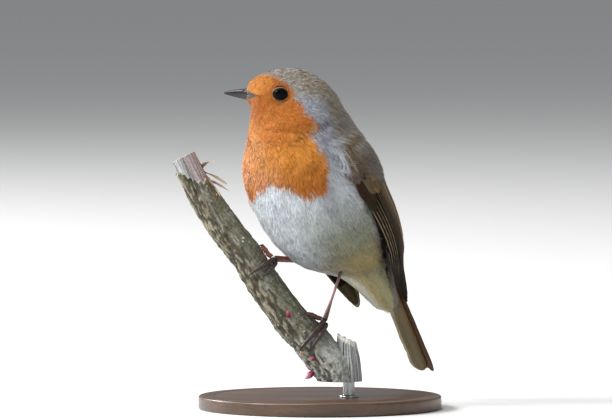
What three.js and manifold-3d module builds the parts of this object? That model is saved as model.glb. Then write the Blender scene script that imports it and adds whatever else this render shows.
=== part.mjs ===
// European robin (Erithacus rubecula), life size, perched on a short cut length of branch
// that a plain display stand holds up. Millimetres, +Z up, the floor at Z = 0, the origin at
// the centre of the base. The bill points along -X and the shown side faces -Y.
import * as THREE from "three";
import { mergeVertices } from "three/addons/utils/BufferGeometryUtils.js";
import Module from "manifold-3d";

const wasm = await Module();
wasm.setup();

// ---------------------------------------------------------------- driving dimensions
const GAP = 0.3; // clearance between pieces that touch
const FINE = 0.08; // facets flatter than this are joined after a cut

// The trunk's own frame: along the spine towards the head, towards the back, to the left.
const BODY_PITCH = 66; // degrees the spine rises above the horizontal
const BODY_TURN = 45; // degrees the trunk turns from profile towards -Y
const BODY_CENTRE = new THREE.Vector3(-0.7, 0, 81);
const HEAD_PLANE_Y = -9.3; // the head's mirror plane, seen in pure profile

// Head sections from the bill back: crown point and throat point in the mirror plane,
// the turn of the section in degrees, and half its width.
const HEAD_SECTIONS = [
  { crown: [-27.0, 118.8], throat: [-27.1, 114.5], turn: 0, side: 2.3 },
  { crown: [-25.9, 121.2], throat: [-26.3, 113.0], turn: 0, side: 4.4 },
  { crown: [-23.7, 123.0], throat: [-25.7, 111.4], turn: 0, side: 6.2 },
  { crown: [-19.2, 125.1], throat: [-25.7, 109.5], turn: 0, side: 8.0 },
  { crown: [-13.0, 126.5], throat: [-25.9, 107.3], turn: 0, side: 9.6 },
  { crown: [-5.4, 125.9], throat: [-26.3, 104.7], turn: 2, side: 11.2 },
  { crown: [1.0, 122.5], throat: [-26.6, 102.5], turn: 8, side: 13.2 },
];
// Neck sections: centre, pitch and turn of the axis, half depth and half width.
const NECK_SECTIONS = [
  { centre: [-10.7, HEAD_PLANE_Y, 108.8], pitch: 60.5, turn: 20, half: 18.8, side: 16.0 },
  { centre: [-9, -8.4, 103.5], pitch: 65, turn: 33, half: 20.6, side: 19.5 },
];
// Trunk sections in the trunk's frame, from the shoulders to the undertail coverts.
const TRUNK_SECTIONS = [
  { at: 18, back: 21.0, belly: -25.0, side: 22.7 },
  { at: 10, back: 22.6, belly: -26.8, side: 24.4 },
  { at: 0, back: 23.4, belly: -25.8, side: 24.8 },
  { at: -10, back: 23.4, belly: -23.7, side: 24 },
  { at: -18, back: 23, belly: -20.4, side: 21.8 },
  { at: -25, back: 22.6, belly: -15.8, side: 18.6 },
  { at: -31, back: 22.4, belly: -8, side: 14.2 },
  { at: -37, back: 22, belly: -0.4, side: 10.8 },
  { at: -44, back: 20.3, belly: 5, side: 8.6 },
  { at: -50, back: 20, belly: 8.2, side: 7 },
  { at: -55, back: 19.6, belly: 11.2, side: 5.2 },
  { at: -58, back: 18.6, belly: 14.2, side: 3 },
];
const HEAD_CUT = 6; // section number where head and neck part
const NECK_CUT = 8; // section number where neck and trunk part
const BODY_SIDES = 26;

const EYE_RADIUS = 3.2;
const EYE_X = -14.6;
const EYE_Z = 117;
const EYE_PROUD = 0.8; // how far the cornea stands out of the plumage

// Bill sections along X: culmen height, lower edge height and half width.
const GAPE_Z = 117.0;
const BILL_SECTIONS = [
  { x: -24.8, top: 118.9, bottom: 114.4, side: 2.3 },
  { x: -27.2, top: 118.8, bottom: 114.6, side: 2.1 },
  { x: -29.5, top: 118.6, bottom: 115.1, side: 1.65 },
  { x: -31.8, top: 118.3, bottom: 115.7, side: 1.15 },
  { x: -33.8, top: 117.9, bottom: 116.3, side: 0.7 },
  { x: -35.3, top: 117.5, bottom: 116.8, side: 0.3 },
];

// Wing outlines in the trunk's frame from the shoulder to the tip, left wing: the lower
// edge, the middle and the upper edge. The right wing mirrors them and hangs a little.
const WING_LOWER = [
  [19.3, -3.1, 22.5], [8.1, -4.2, 25.3], [-4, -2.6, 25.9], [-16.2, 0.6, 24.9],
  [-28.2, 4.3, 21.5], [-38.2, 7.2, 17.2], [-46.1, 10, 13.9], [-52.1, 12.9, 12.3],
];
const WING_MIDDLE = [
  [19.6, 3.9, 23.6], [8.3, 6.3, 25.9], [-3.9, 8.2, 25.4], [-16.1, 10.5, 24.1],
  [-28.3, 12.6, 20.5], [-38.2, 13.4, 16.4], [-46.1, 13.9, 14.2], [-52.8, 14.2, 12.6],
];
const WING_UPPER = [
  [18.2, 8.6, 20.8], [8.1, 13.7, 18.8], [-3.9, 17.1, 15.2], [-15.9, 20.7, 13],
  [-28.1, 21.2, 11.9], [-38.1, 18.5, 11.9], [-46, 16.2, 12.8], [-52.1, 15.1, 12.2],
];
const WING_THICK = 3.2; // at the shoulder
const WING_TIP_THICK = 0.9;
const WING_GRID = { steps: 16, rows: 11 };
const WING_ROOM_GRID = { steps: 10, rows: 6 }; // the recess for it in the trunk is coarser
const WING_ROOM_PROUD = 3; // and it is cut clear of the plumage outside the wing
const RIGHT_WING_DROOP = new THREE.Vector3(-3, -1.5, 0); // in the trunk's frame, at the tip

// Tail: twelve rectrices that lie stacked like a closed fan, the middle pair on top.
const TAIL_ROOT = [-27, 19.6]; // along the spine, towards the back
const TAIL_TIP = [-86.8, 26.35];
const TAIL_PAIRS = 6;
const RECTRIX_WIDTH = 5.6;
const RECTRIX_THICK = 0.62;
const RECTRIX_LIFT = 0.3; // each pair lies this much below the pair inside it
const TAIL_SPREAD = 0.55; // sideways step from pair to pair at the tip
const TAIL_NOTCH = 0.1; // each pair reaches this much further than the pair inside it

// Legs: heel in the trunk's frame, foot joint in the world.
const HEELS = { left: [-27.7, -4.1, 6], right: [-27.7, -4.1, -8] };
const FOOT_HEIGHT = { left: 27.4, right: 51.5 }; // of the stem's axis under each foot
const TARSUS_RADIUS = 0.78;
// The feathered thigh shows as a cuff round the leg: how far down the shaft, and its radii.
const THIGH_END = 0.3;
const THIGH_RADII = [4.8, 4.4, 3.4, 2.3, 1.4];
const TOE_RADIUS = 0.85;
const CLAW_RADIUS = 0.5;
// Each toe: where it starts and ends along the stem in mm, and the wrap in degrees.
const TOES = {
  left: {
    middle: { start: 0, end: 2.2, wrap: 116, claw: 4.0 },
    outer: { start: 1.6, end: 4.6, wrap: 90, claw: 3.8 },
    inner: { start: -1.0, end: -6.2, wrap: 46, claw: 3.8 },
    back: { start: 0.2, end: -1.0, wrap: -96, claw: 4.6 },
  },
  right: {
    middle: { start: 0, end: 0.6, wrap: 96, claw: 4.0 },
    outer: { start: 1.6, end: 3.6, wrap: 62, claw: 3.8 },
    inner: { start: -1.0, end: -6.4, wrap: 22, claw: 3.8 },
    back: { start: 0.2, end: -1.0, wrap: -96, claw: 4.6 },
  },
};

// Perch: the main stem's axis from its upper cut end down into the upright, with radii.
const STEM = [
  [-50.5, 1, 93.1, 5.0], [-43.5, 0, 79.7, 5.3], [-35.9, -2.5, 68.1, 5.8],
  [-27.6, -5, 57.5, 5.9], [-20.5, -7, 46.6, 6.2], [-11.1, -9.6, 34.2, 6.4],
  [-2.6, -11.3, 24.8, 6.8], [5.5, -12, 14.5, 6.8], [8.6, -12, 5, 5.6],
];
const UPRIGHT = [
  [10.6, -12, 5, 5.4], [10.4, -12, 15.5, 5.2], [10.2, -12, 20, 4.6],
  [9.9, -12, 24, 4.0], [9.6, -12, 29.6, 3.4],
];
const BROKEN_TOP = { normal: [-0.3872, 0, -0.922], offset: -29.04 }; // the upright's slanted end
const PERCH_FOOT = 11; // height of the flat cut across the perch's lower end
const BARK_SIDES = 12;
// Buds: height of the stem's axis there, degrees round it from the top towards -Y, length.
const BUDS = [
  { height: 34.2, round: 88, length: 3.2 },
  { height: 21.5, round: 115, length: 2.2 },
  { height: 18.5, round: 168, length: 4.2 },
];

// Stand: a flat round base and one short rod into the perch's lower end.
const BASE_RADIUS = 45;
const BASE_HEIGHT = 5;
const BASE_BEVEL = 0.8;
const ROD_RADIUS = 2.2;
const ROD_FOOT = 2; // the rod's socket in the base reaches down to here
const ROD_TOP = 17; // and the rod reaches up into the perch to here

// ---------------------------------------------------------------- small helpers
const radians = THREE.MathUtils.degToRad;
const inUnit = (x) => THREE.MathUtils.clamp(x, 0, 1);

function catmullRom(rows, place) {
  // rows: lists of numbers at whole numbers of place; a smooth curve through all of them
  const last = rows.length - 1;
  const i = Math.max(0, Math.min(Math.floor(place), last - 1));
  const f = place - i;
  const row = (k) => rows[Math.max(0, Math.min(k, last))];
  const [a, b, c, d] = [row(i - 1), row(i), row(i + 1), row(i + 2)];
  return b.map((_, k) => {
    const slopeB = (c[k] - a[k]) / 2;
    const slopeC = (d[k] - b[k]) / 2;
    const rise = c[k] - b[k];
    return b[k] + f * (slopeB + f * (3 * rise - 2 * slopeB - slopeC + f * (slopeB + slopeC - 2 * rise)));
  });
}

function axesOf(pitch, turn) {
  // along the spine, towards the back, to the bird's left
  const p = radians(pitch);
  const t = radians(turn);
  const ahead = new THREE.Vector3(-Math.cos(t), -Math.sin(t), 0);
  const up = new THREE.Vector3(0, 0, 1);
  return {
    along: ahead.clone().multiplyScalar(Math.cos(p)).addScaledVector(up, Math.sin(p)),
    back: ahead.clone().multiplyScalar(-Math.sin(p)).addScaledVector(up, Math.cos(p)),
    left: new THREE.Vector3(Math.sin(t), -Math.cos(t), 0),
  };
}

const TRUNK_AXES = axesOf(BODY_PITCH, BODY_TURN);

function inTrunk(along, back, left) {
  return BODY_CENTRE.clone()
    .addScaledVector(TRUNK_AXES.along, along)
    .addScaledVector(TRUNK_AXES.back, back)
    .addScaledVector(TRUNK_AXES.left, left);
}

function signedVolume(points, faces) {
  let sum = 0;
  for (const [a, b, c] of faces) sum += points[a].dot(points[b].clone().cross(points[c]));
  return sum / 6;
}

function closedGeometry(points, faces) {
  const out = signedVolume(points, faces) < 0 ? faces.map(([a, b, c]) => [a, c, b]) : faces;
  const geometry = new THREE.BufferGeometry().setFromPoints(points);
  geometry.setIndex(out.flat());
  return geometry;
}

function loft(rings) {
  // a closed surface through rings of equal count, its two ends closed by flat fans
  const n = rings[0].length;
  const points = rings.flat();
  const faces = [];
  for (let r = 0; r + 1 < rings.length; r++) {
    for (let k = 0; k < n; k++) {
      const a = r * n + k;
      const b = r * n + ((k + 1) % n);
      faces.push([a, b, a + n], [b, b + n, a + n]);
    }
  }
  for (const [r, turned] of [[0, true], [rings.length - 1, false]]) {
    const middle = new THREE.Vector3();
    for (const p of rings[r]) middle.addScaledVector(p, 1 / n);
    const hub = points.push(middle) - 1;
    for (let k = 0; k < n; k++) {
      const a = r * n + k;
      const b = r * n + ((k + 1) % n);
      faces.push(turned ? [b, a, hub] : [a, b, hub]);
    }
  }
  return closedGeometry(points, faces);
}

function solid(geometry) {
  const bare = new THREE.BufferGeometry().setAttribute("position", geometry.getAttribute("position"));
  bare.setIndex(geometry.index);
  const merged = mergeVertices(bare, 1e-4);
  const vertProperties = merged.attributes.position.array;
  const triVerts = new Uint32Array(merged.index.array);
  return new wasm.Manifold(new wasm.Mesh({ numProp: 3, vertProperties, triVerts }));
}

function largest(body) {
  const pieces = body.simplify(FINE).decompose();
  return pieces.reduce((best, piece) => (piece.volume() > best.volume() ? piece : best));
}

function cutBy(body, cutters) {
  // the biggest piece that is left of body clear of every cutter
  return largest(cutters.reduce((left, cutter) => left.subtract(cutter), body));
}

function geometryOf(body) {
  const mesh = body.getMesh();
  const geometry = new THREE.BufferGeometry();
  const points = new Float32Array(mesh.numVert * 3);
  for (let i = 0; i < mesh.numVert; i++) {
    const from = i * mesh.numProp;
    points.set(mesh.vertProperties.subarray(from, from + 3), i * 3);
  }
  geometry.setAttribute("position", new THREE.BufferAttribute(points, 3));
  geometry.setIndex(new THREE.BufferAttribute(mesh.triVerts, 1));
  geometry.computeVertexNormals();
  return geometry;
}

function tube(path, radii, sides, grow = 0, bumps = null) {
  // rings across a smooth path; radii are spread evenly along it
  const curve = new THREE.CatmullRomCurve3(path);
  const steps = (path.length - 1) * 2;
  const frames = curve.computeFrenetFrames(steps);
  const rings = [];
  for (let i = 0; i <= steps; i++) {
    const f = i / steps;
    const [radius] = catmullRom(radii.map((r) => [r]), f * (radii.length - 1));
    const centre = curve.getPointAt(f);
    const ring = [];
    for (let k = 0; k < sides; k++) {
      const angle = (2 * Math.PI * k) / sides;
      const r = (radius + grow) * (bumps ? bumps(angle, f) : 1);
      const p = centre.clone().addScaledVector(frames.normals[i], r * Math.cos(angle));
      ring.push(p.addScaledVector(frames.binormals[i], r * Math.sin(angle)));
    }
    rings.push(ring);
  }
  // a grown tube is longer too, so that it clears the ends as well
  for (const [end, way] of [[0, -1], [steps, 1]]) {
    for (const p of rings[end]) p.addScaledVector(frames.tangents[end], way * grow);
  }
  return loft(rings);
}

const root = new THREE.Group();

function add(name, shape, color, roughness, metalness = 0) {
  const geometry = shape.isBufferGeometry ? shape : geometryOf(shape);
  const material = new THREE.MeshStandardMaterial({ color, roughness, metalness });
  const mesh = new THREE.Mesh(geometry, material);
  mesh.name = name;
  root.add(mesh);
  return mesh;
}

// ---------------------------------------------------------------- head, neck and trunk
function bodySections() {
  // rows of: centre x, y, z, pitch, turn, half depth to the back, to the belly, half width
  const rows = [];
  for (const s of HEAD_SECTIONS) {
    const across = new THREE.Vector2(s.crown[0] - s.throat[0], s.crown[1] - s.throat[1]);
    const pitch = THREE.MathUtils.radToDeg(Math.atan2(across.x, across.y));
    const x = (s.crown[0] + s.throat[0]) / 2;
    const z = (s.crown[1] + s.throat[1]) / 2;
    const half = across.length() / 2;
    rows.push([x, HEAD_PLANE_Y, z, pitch, s.turn, half, half, s.side]);
  }
  for (const s of NECK_SECTIONS) rows.push([...s.centre, s.pitch, s.turn, s.half, s.half, s.side]);
  for (const s of TRUNK_SECTIONS) {
    const half = (s.back - s.belly) / 2;
    const centre = inTrunk(s.at, (s.back + s.belly) / 2, 0);
    rows.push([...centre.toArray(), BODY_PITCH, BODY_TURN, half, half, s.side]);
  }
  return rows;
}

const SECTIONS = bodySections();

function bodyPoint(place, angle, grow = 0) {
  // on the section at place, the angle running from the belly line towards the bird's left
  const [x, y, z, pitch, turn, toBack, toBelly, side] = catmullRom(SECTIONS, place);
  const axes = axesOf(pitch, turn);
  const depth = (Math.cos(angle) < 0 ? toBack : toBelly) + grow;
  return new THREE.Vector3(x, y, z)
    .addScaledVector(axes.back, -Math.cos(angle) * depth)
    .addScaledVector(axes.left, Math.sin(angle) * (side + grow));
}

function bodyRing(place, grow = 0) {
  const ring = [];
  for (let k = 0; k < BODY_SIDES; k++) {
    ring.push(bodyPoint(place, (2 * Math.PI * k) / BODY_SIDES, grow));
  }
  return ring;
}

function bodyLength(from, to, steps, grow = 0) {
  const rings = [];
  for (let i = 0; i <= steps; i++) rings.push(bodyRing(from + ((to - from) * i) / steps, grow));
  return solid(loft(rings));
}

const CUT = 0.06; // half the gap between two lengths of the body, in section numbers
const TAIL_END = SECTIONS.length - 1;
const grownTrunk = bodyLength(NECK_CUT - 1, TAIL_END, 30, GAP);

// ---------------------------------------------------------------- eyes and bill
function eyeCentre(way) {
  // way is -1 on the left eye, which faces -Y, and 1 on the right eye
  let [nearest, surface] = [Infinity, 0];
  for (let place = 3; place <= 7; place += 0.05) {
    for (let degrees = 45; degrees <= 135; degrees += 1) {
      const p = bodyPoint(place, -way * radians(degrees));
      const near = Math.hypot(p.x - EYE_X, p.z - EYE_Z);
      if (near < nearest) [nearest, surface] = [near, p.y];
    }
  }
  return new THREE.Vector3(EYE_X, surface + way * (EYE_PROUD - EYE_RADIUS), EYE_Z);
}

function ball(centre, radius) {
  const sphere = new THREE.SphereGeometry(radius, 12, 8);
  return sphere.rotateX(Math.PI / 2).translate(centre.x, centre.y, centre.z);
}

function mandible(upper, grow = 0) {
  const count = 7;
  const rings = BILL_SECTIONS.map((s, i) => {
    const rim = GAPE_Z + (upper ? GAP / 2 - grow : -GAP / 2 + grow);
    const far = upper ? s.top + grow : s.bottom - grow;
    const x = s.x + (i ? -grow : grow);
    const ring = [];
    for (let k = 0; k <= count; k++) {
      const angle = (Math.PI * k) / count;
      const y = HEAD_PLANE_Y + (s.side + grow) * Math.cos(angle);
      ring.push(new THREE.Vector3(x, y, rim + (far - rim) * Math.sin(angle)));
    }
    return ring;
  });
  return loft(rings);
}

// ---------------------------------------------------------------- wings
function wingPoint(s, w, side) {
  const place = s * (WING_LOWER.length - 1);
  const [low, mid, high] = [WING_LOWER, WING_MIDDLE, WING_UPPER].map((line) => catmullRom(line, place));
  const [a, b, c] = [2 * (w - 0.5) * (w - 1), 4 * w * (1 - w), 2 * w * (w - 0.5)];
  const [along, back, left] = low.map((v, k) => a * v + b * mid[k] + c * high[k]);
  const droop = side < 0 ? RIGHT_WING_DROOP.clone().multiplyScalar(s * s) : new THREE.Vector3();
  return inTrunk(along + droop.x, back + droop.y, side * left);
}

function wingNormal(s, w, side) {
  const alongS = wingPoint(s + 0.01, w, side).sub(wingPoint(s - 0.01, w, side));
  const alongW = wingPoint(s, w + 0.01, side).sub(wingPoint(s, w - 0.01, side));
  return alongS.cross(alongW).normalize().multiplyScalar(side);
}

function featherRelief(s, w) {
  // the three rows of coverts stand in steps, and behind them each flight feather overlaps
  const coverts = 0.3 * (s < 0.22 ? 1 : 0) + 0.3 * (s < 0.42 ? 1 : 0);
  const flight = s < 0.42 ? 0 : 0.35 * (((w * 5.5) % 1) - 0.5);
  return coverts + flight;
}

function wingSolid(side, { steps, rows }, grow = 0, outwards = 0) {
  const rings = [];
  for (let i = 0; i <= steps; i++) {
    const s = THREE.MathUtils.lerp(-0.07 * grow, 1 + 0.07 * grow, i / steps);
    const margin = (2.5 * grow) / wingPoint(s, 0, side).distanceTo(wingPoint(s, 1, side));
    const thick = THREE.MathUtils.lerp(WING_THICK, WING_TIP_THICK, inUnit(s * 1.15));
    const outer = [];
    const inner = [];
    for (let k = 0; k <= rows; k++) {
      const w = THREE.MathUtils.lerp(-margin, 1 + margin, k / rows);
      const p = wingPoint(s, w, side);
      const normal = wingNormal(inUnit(s), inUnit(w), side);
      const edge = 0.45 + 0.55 * Math.sin(Math.PI * inUnit(w));
      const relief = grow ? 0.4 : featherRelief(s, w) * edge;
      outer.push(p.clone().addScaledVector(normal, relief + grow + outwards));
      inner.unshift(p.clone().addScaledVector(normal, -thick * edge - 1.6 * grow));
    }
    rings.push([...outer, ...inner]);
  }
  return solid(loft(rings));
}

// ---------------------------------------------------------------- tail
function rectrix(pair, side, grow = 0) {
  // one tail feather: a thin roof-shaped plate with a rounded tip
  const below = pair * RECTRIX_LIFT;
  const shift = side * (0.4 + pair * TAIL_SPREAD);
  const length = 1 + (pair * TAIL_NOTCH) / 58;
  const rings = [];
  const shape = [[0, 0.72], [0.9, 1], [0.97, 0.9], [1, 0.6]]; // place, width
  shape.forEach(([f, wide], i) => {
    const end = i === 0 ? -grow : i === shape.length - 1 ? grow : 0;
    const along = THREE.MathUtils.lerp(TAIL_ROOT[0], TAIL_TIP[0], f * length) - end;
    const back = THREE.MathUtils.lerp(TAIL_ROOT[1], TAIL_TIP[1], f * length) - below;
    const middle = shift * (0.45 + 0.55 * f);
    const half = (RECTRIX_WIDTH * wide) / 2 + grow;
    const thick = RECTRIX_THICK / 2 + grow;
    const sag = (x) => -0.035 * x * x;
    const ring = [];
    for (const [x, d] of [[-half, -thick], [half, -thick], [half, thick], [-half, thick]]) {
      ring.push(inTrunk(along, back + d + sag(middle + x), middle + x));
    }
    rings.push(ring);
  });
  return solid(loft(rings));
}

function tailSolid(grow = 0) {
  const feathers = [];
  for (let pair = 0; pair < TAIL_PAIRS; pair++) {
    for (const side of [-1, 1]) feathers.push(rectrix(pair, side, grow));
  }
  return feathers.reduce((all, feather) => all.add(feather));
}

// ---------------------------------------------------------------- perch
function pathOf(rows) {
  return rows.map(([x, y, z]) => new THREE.Vector3(x, y, z));
}

function bark(angle, f) {
  return 1 + 0.035 * Math.cos(3 * angle + 9 * f) + 0.025 * Math.cos(5 * angle - 14 * f);
}

function perchSolid(grow = 0) {
  const radii = (rows) => rows.map((row) => row[3]);
  const stem = solid(tube(pathOf(STEM), radii(STEM), BARK_SIDES, grow, bark));
  const upright = solid(tube(pathOf(UPRIGHT), radii(UPRIGHT), BARK_SIDES, grow, bark))
    .trimByPlane(BROKEN_TOP.normal, BROKEN_TOP.offset - grow);
  return stem.add(upright).trimByPlane([0, 0, 1], PERCH_FOOT - grow);
}

function stemFrame(height) {
  // where the stem's axis has this height: its point, the way down it, the way up across it
  let place = 0;
  while (catmullRom(STEM, place)[2] > height) place += 0.002;
  const [x, y, z, radius] = catmullRom(STEM, place);
  const ahead = new THREE.Vector3(...catmullRom(STEM, place + 0.05));
  const behind = new THREE.Vector3(...catmullRom(STEM, place - 0.05));
  const down = ahead.sub(behind).normalize();
  const front = new THREE.Vector3(0, -1, 0).addScaledVector(down, down.y).normalize();
  const top = front.clone().cross(down).normalize();
  return { centre: new THREE.Vector3(x, y, z), down, front, top, radius };
}

function roundStem(frame, along, degrees, height) {
  // a point height above the bark, degrees round from the top towards the front
  const a = radians(degrees);
  const reach = frame.radius * 1.05 + height;
  return frame.centre
    .clone()
    .addScaledVector(frame.down, along)
    .addScaledVector(frame.top, Math.cos(a) * reach)
    .addScaledVector(frame.front, Math.sin(a) * reach);
}

function budSolid({ height, round, length }) {
  const frame = stemFrame(height);
  const foot = roundStem(frame, 0, round, GAP - 0.1);
  const out = foot.clone().sub(frame.centre).normalize();
  const path = [0, 0.35, 0.7, 1].map((f) => foot.clone().addScaledVector(out, f * length));
  return solid(tube(path, [0.5, 1.2, 1.0, 0.2], 7));
}

// ---------------------------------------------------------------- legs and feet
function toePath(frame, toe) {
  const way = Math.sign(toe.wrap);
  const turns = [0, 0.12, 0.32, 0.55, 0.78, 1];
  return turns.map((f, i) => {
    const arch = i === 0 ? 0.7 : 0.25 * (i % 2);
    const along = THREE.MathUtils.lerp(toe.start, toe.end, f ** 0.8);
    const degrees = 10 * way + (toe.wrap - 10 * way) * f;
    return roundStem(frame, along, degrees, TOE_RADIUS + GAP + arch);
  });
}

function clawPath(frame, toe) {
  const way = Math.sign(toe.wrap);
  const perMillimetre = 180 / Math.PI / (frame.radius + 1);
  return [0, 0.5, 1].map((f) => {
    const degrees = toe.wrap + way * (toe.claw * f - CLAW_RADIUS) * perMillimetre;
    const along = toe.end + Math.sign(toe.end) * 0.5 * f;
    const height = GAP + CLAW_RADIUS + 0.8 * Math.sin(Math.PI * (0.25 + 0.75 * f)) - 0.3 * f;
    return roundStem(frame, along, degrees, height);
  });
}

function leg(side) {
  const frame = stemFrame(FOOT_HEIGHT[side]);
  const heel = inTrunk(...HEELS[side]);
  const joint = roundStem(frame, 0, 0, TOE_RADIUS + 1.1);
  const shaft = [0, 0.3, 0.65, 0.93, 1].map((f) => heel.clone().lerp(joint, f));
  const widths = [TARSUS_RADIUS + 0.35, TARSUS_RADIUS, TARSUS_RADIUS, 1.0, 0.85];
  const cuff = [0, 0.25, 0.5, 0.75, 1].map((f) => heel.clone().lerp(joint, f * THIGH_END));
  const thigh = solid(tube(cuff, THIGH_RADII, 14));
  const grownThigh = solid(tube(cuff, THIGH_RADII, 16, GAP));
  const tarsus = solid(tube(shaft, widths, 8));
  const pieces = {
    thigh: cutBy(thigh, [grownTrunk]),
    tarsus: cutBy(tarsus, [grownTrunk, grownThigh]),
  };
  const blockers = [solid(tube(shaft, widths, 10, GAP)), grownPerch];
  for (const [name, toe] of Object.entries(TOES[side])) {
    const path = toePath(frame, toe);
    const sizes = [0.95, 1.12, 0.95, 1.08, 0.92, 0.72].map((k) => k * TOE_RADIUS);
    pieces["toe_" + name] = cutBy(solid(tube(path, sizes, 7)), blockers);
    blockers.push(solid(tube(path, sizes, 10, GAP)));
    const nail = clawPath(frame, toe);
    const points = [0.9, 0.75, 0.2].map((k) => k * CLAW_RADIUS);
    pieces["claw_" + name] = cutBy(solid(tube(nail, points, 5)), blockers);
    blockers.push(solid(tube(nail, points, 8, GAP)));
  }
  return pieces;
}

// ---------------------------------------------------------------- stand
function standBase() {
  const [r, h, b] = [BASE_RADIUS, BASE_HEIGHT, BASE_BEVEL];
  const profile = [[0, 0], [r - b, 0], [r, b], [r, h - b], [r - b, h], [0, h]];
  const points = profile.map(([x, z]) => new THREE.Vector2(x, z));
  return new THREE.LatheGeometry(points, 30).rotateX(Math.PI / 2);
}

function rod(grow = 0) {
  const height = ROD_TOP - ROD_FOOT + 2 * grow;
  const cylinder = new THREE.CylinderGeometry(ROD_RADIUS + grow, ROD_RADIUS + grow, height, 20);
  const [x, y] = UPRIGHT[0];
  return cylinder.rotateX(Math.PI / 2).translate(x, y, (ROD_TOP + ROD_FOOT) / 2);
}

// ---------------------------------------------------------------- the whole model
const grownPerch = perchSolid(GAP);
const eyes = { left: eyeCentre(-1), right: eyeCentre(1) };
const sockets = Object.values(eyes).map((centre) => solid(ball(centre, EYE_RADIUS + GAP)));
const billRoom = [solid(mandible(true, GAP)), solid(mandible(false, GAP))];
const grownTail = tailSolid(GAP);
const wings = { left: 1, right: -1 };
const wingRoom = Object.values(wings).map((side) => wingSolid(side, WING_ROOM_GRID, 2 * GAP, WING_ROOM_PROUD));

add("head", cutBy(bodyLength(0, HEAD_CUT - CUT, 11), [...sockets, ...billRoom]), 0xc9783a, 0.9);
add("neck", bodyLength(HEAD_CUT + CUT, NECK_CUT - CUT, 5), 0xb9834f, 0.9);
const trunk = bodyLength(NECK_CUT + CUT, TAIL_END, 17);
add("trunk", cutBy(trunk, [...wingRoom, grownTail]), 0xc4bfb2, 0.9);
add("tail", tailSolid(), 0x78644b, 0.75);
for (const [name, centre] of Object.entries(eyes)) {
  add("eye_" + name, ball(centre, EYE_RADIUS), 0x0c0a09, 0.08);
}
add("bill_upper", mandible(true), 0x3c3a41, 0.45);
add("bill_lower", mandible(false), 0x514c50, 0.45);
for (const [name, side] of Object.entries(wings)) {
  add("wing_" + name, largest(wingSolid(side, WING_GRID)), 0x4b3c32, 0.8);
}
const FOOT_COLOURS = { thigh: 0xb5aa94, tarsus: 0x7a4a44, toe: 0x5a322d, claw: 0x2b2422 };
for (const side of ["left", "right"]) {
  for (const [name, shape] of Object.entries(leg(side))) {
    const [kind, which] = name.split("_");
    const label = which ? [kind, side, which].join("_") : kind + "_" + side;
    add(label, shape, FOOT_COLOURS[kind], 0.6);
  }
}
add("perch_branch", cutBy(perchSolid(), [solid(rod(GAP))]), 0x77715f, 0.95);
BUDS.forEach((bud, i) => add("perch_bud_" + (i + 1), cutBy(budSolid(bud), [grownPerch]), 0xb9656b, 0.6));
add("stand_base", cutBy(solid(standBase()), [solid(rod(GAP))]), 0x2f2a26, 0.5);
add("stand_rod", rod(), 0x8f9194, 0.35, 1);

export default root;
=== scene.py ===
import bpy
import numpy as np
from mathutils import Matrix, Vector


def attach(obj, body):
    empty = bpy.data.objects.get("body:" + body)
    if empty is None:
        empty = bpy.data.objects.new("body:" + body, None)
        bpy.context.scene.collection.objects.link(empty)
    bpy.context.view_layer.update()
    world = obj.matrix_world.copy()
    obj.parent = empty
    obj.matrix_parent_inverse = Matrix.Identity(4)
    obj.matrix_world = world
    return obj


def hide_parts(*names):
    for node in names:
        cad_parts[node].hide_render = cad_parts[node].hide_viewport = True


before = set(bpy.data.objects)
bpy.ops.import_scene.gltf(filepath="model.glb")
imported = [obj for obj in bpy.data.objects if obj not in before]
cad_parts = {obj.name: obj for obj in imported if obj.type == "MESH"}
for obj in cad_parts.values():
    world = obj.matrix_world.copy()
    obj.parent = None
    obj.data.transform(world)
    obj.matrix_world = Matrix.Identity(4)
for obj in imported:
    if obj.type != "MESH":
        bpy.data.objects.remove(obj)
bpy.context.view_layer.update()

MM = 0.001  # lengths below are in millimetres, as in the part's source; meshes are in metres

# ---------------------------------------------------------------- the bird's frame
BODY_PITCH, BODY_TURN = 66.0, 45.0  # the spine's rise, and the trunk's turn out of profile
BODY_CENTRE = np.array([-0.7, 0.0, 81.0])
HEAD_PLANE_Y = -9.3
HEAD_SECTIONS = [  # crown (x, z), throat (x, z), turn, half width
    [(-27.0, 118.8), (-27.1, 114.5), 0, 2.3], [(-25.9, 121.2), (-26.3, 113.0), 0, 4.4],
    [(-23.7, 123.0), (-25.7, 111.4), 0, 6.2], [(-19.2, 125.1), (-25.7, 109.5), 0, 8.0],
    [(-13.0, 126.5), (-25.9, 107.3), 0, 9.6], [(-5.4, 125.9), (-26.3, 104.7), 2, 11.2],
    [(1.0, 122.5), (-26.6, 102.5), 8, 13.2],
]
NECK_SECTIONS = [  # centre, pitch, turn, half height, half width
    [(-10.7, HEAD_PLANE_Y, 108.8), 60.5, 20, 18.8, 16.0],
    [(-9.0, -8.4, 103.5), 65, 33, 20.6, 19.5],
]
TRUNK_SECTIONS = np.array([  # place along the spine, back line, belly line, half width
    [18, 21.0, -25.0, 22.7], [10, 22.6, -26.8, 24.4], [0, 23.4, -25.8, 24.8],
    [-10, 23.4, -23.7, 24], [-18, 23, -20.4, 21.8], [-25, 22.6, -15.8, 18.6],
    [-31, 22.4, -8, 14.2], [-37, 22, -0.4, 10.8], [-44, 20.3, 5, 8.6], [-50, 20, 8.2, 7],
    [-55, 19.6, 11.2, 5.2], [-58, 18.6, 14.2, 3],
])
COVERTS_END = (-67, 22.0, 17.6, 2.6)  # where the tail's coverts end, past the body
TRUNK_FIRST = len(HEAD_SECTIONS) + len(NECK_SECTIONS)
TAIL_END = TRUNK_FIRST + len(TRUNK_SECTIONS) - 1


def unit(v):
    return v / np.maximum(np.linalg.norm(v, axis=-1, keepdims=True), 1e-12)


def soft(x):
    """0 below -0.5, 1 above 0.5, and a smooth step between."""
    x = np.clip(x + 0.5, 0, 1)
    return x * x * (3 - 2 * x)


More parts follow.
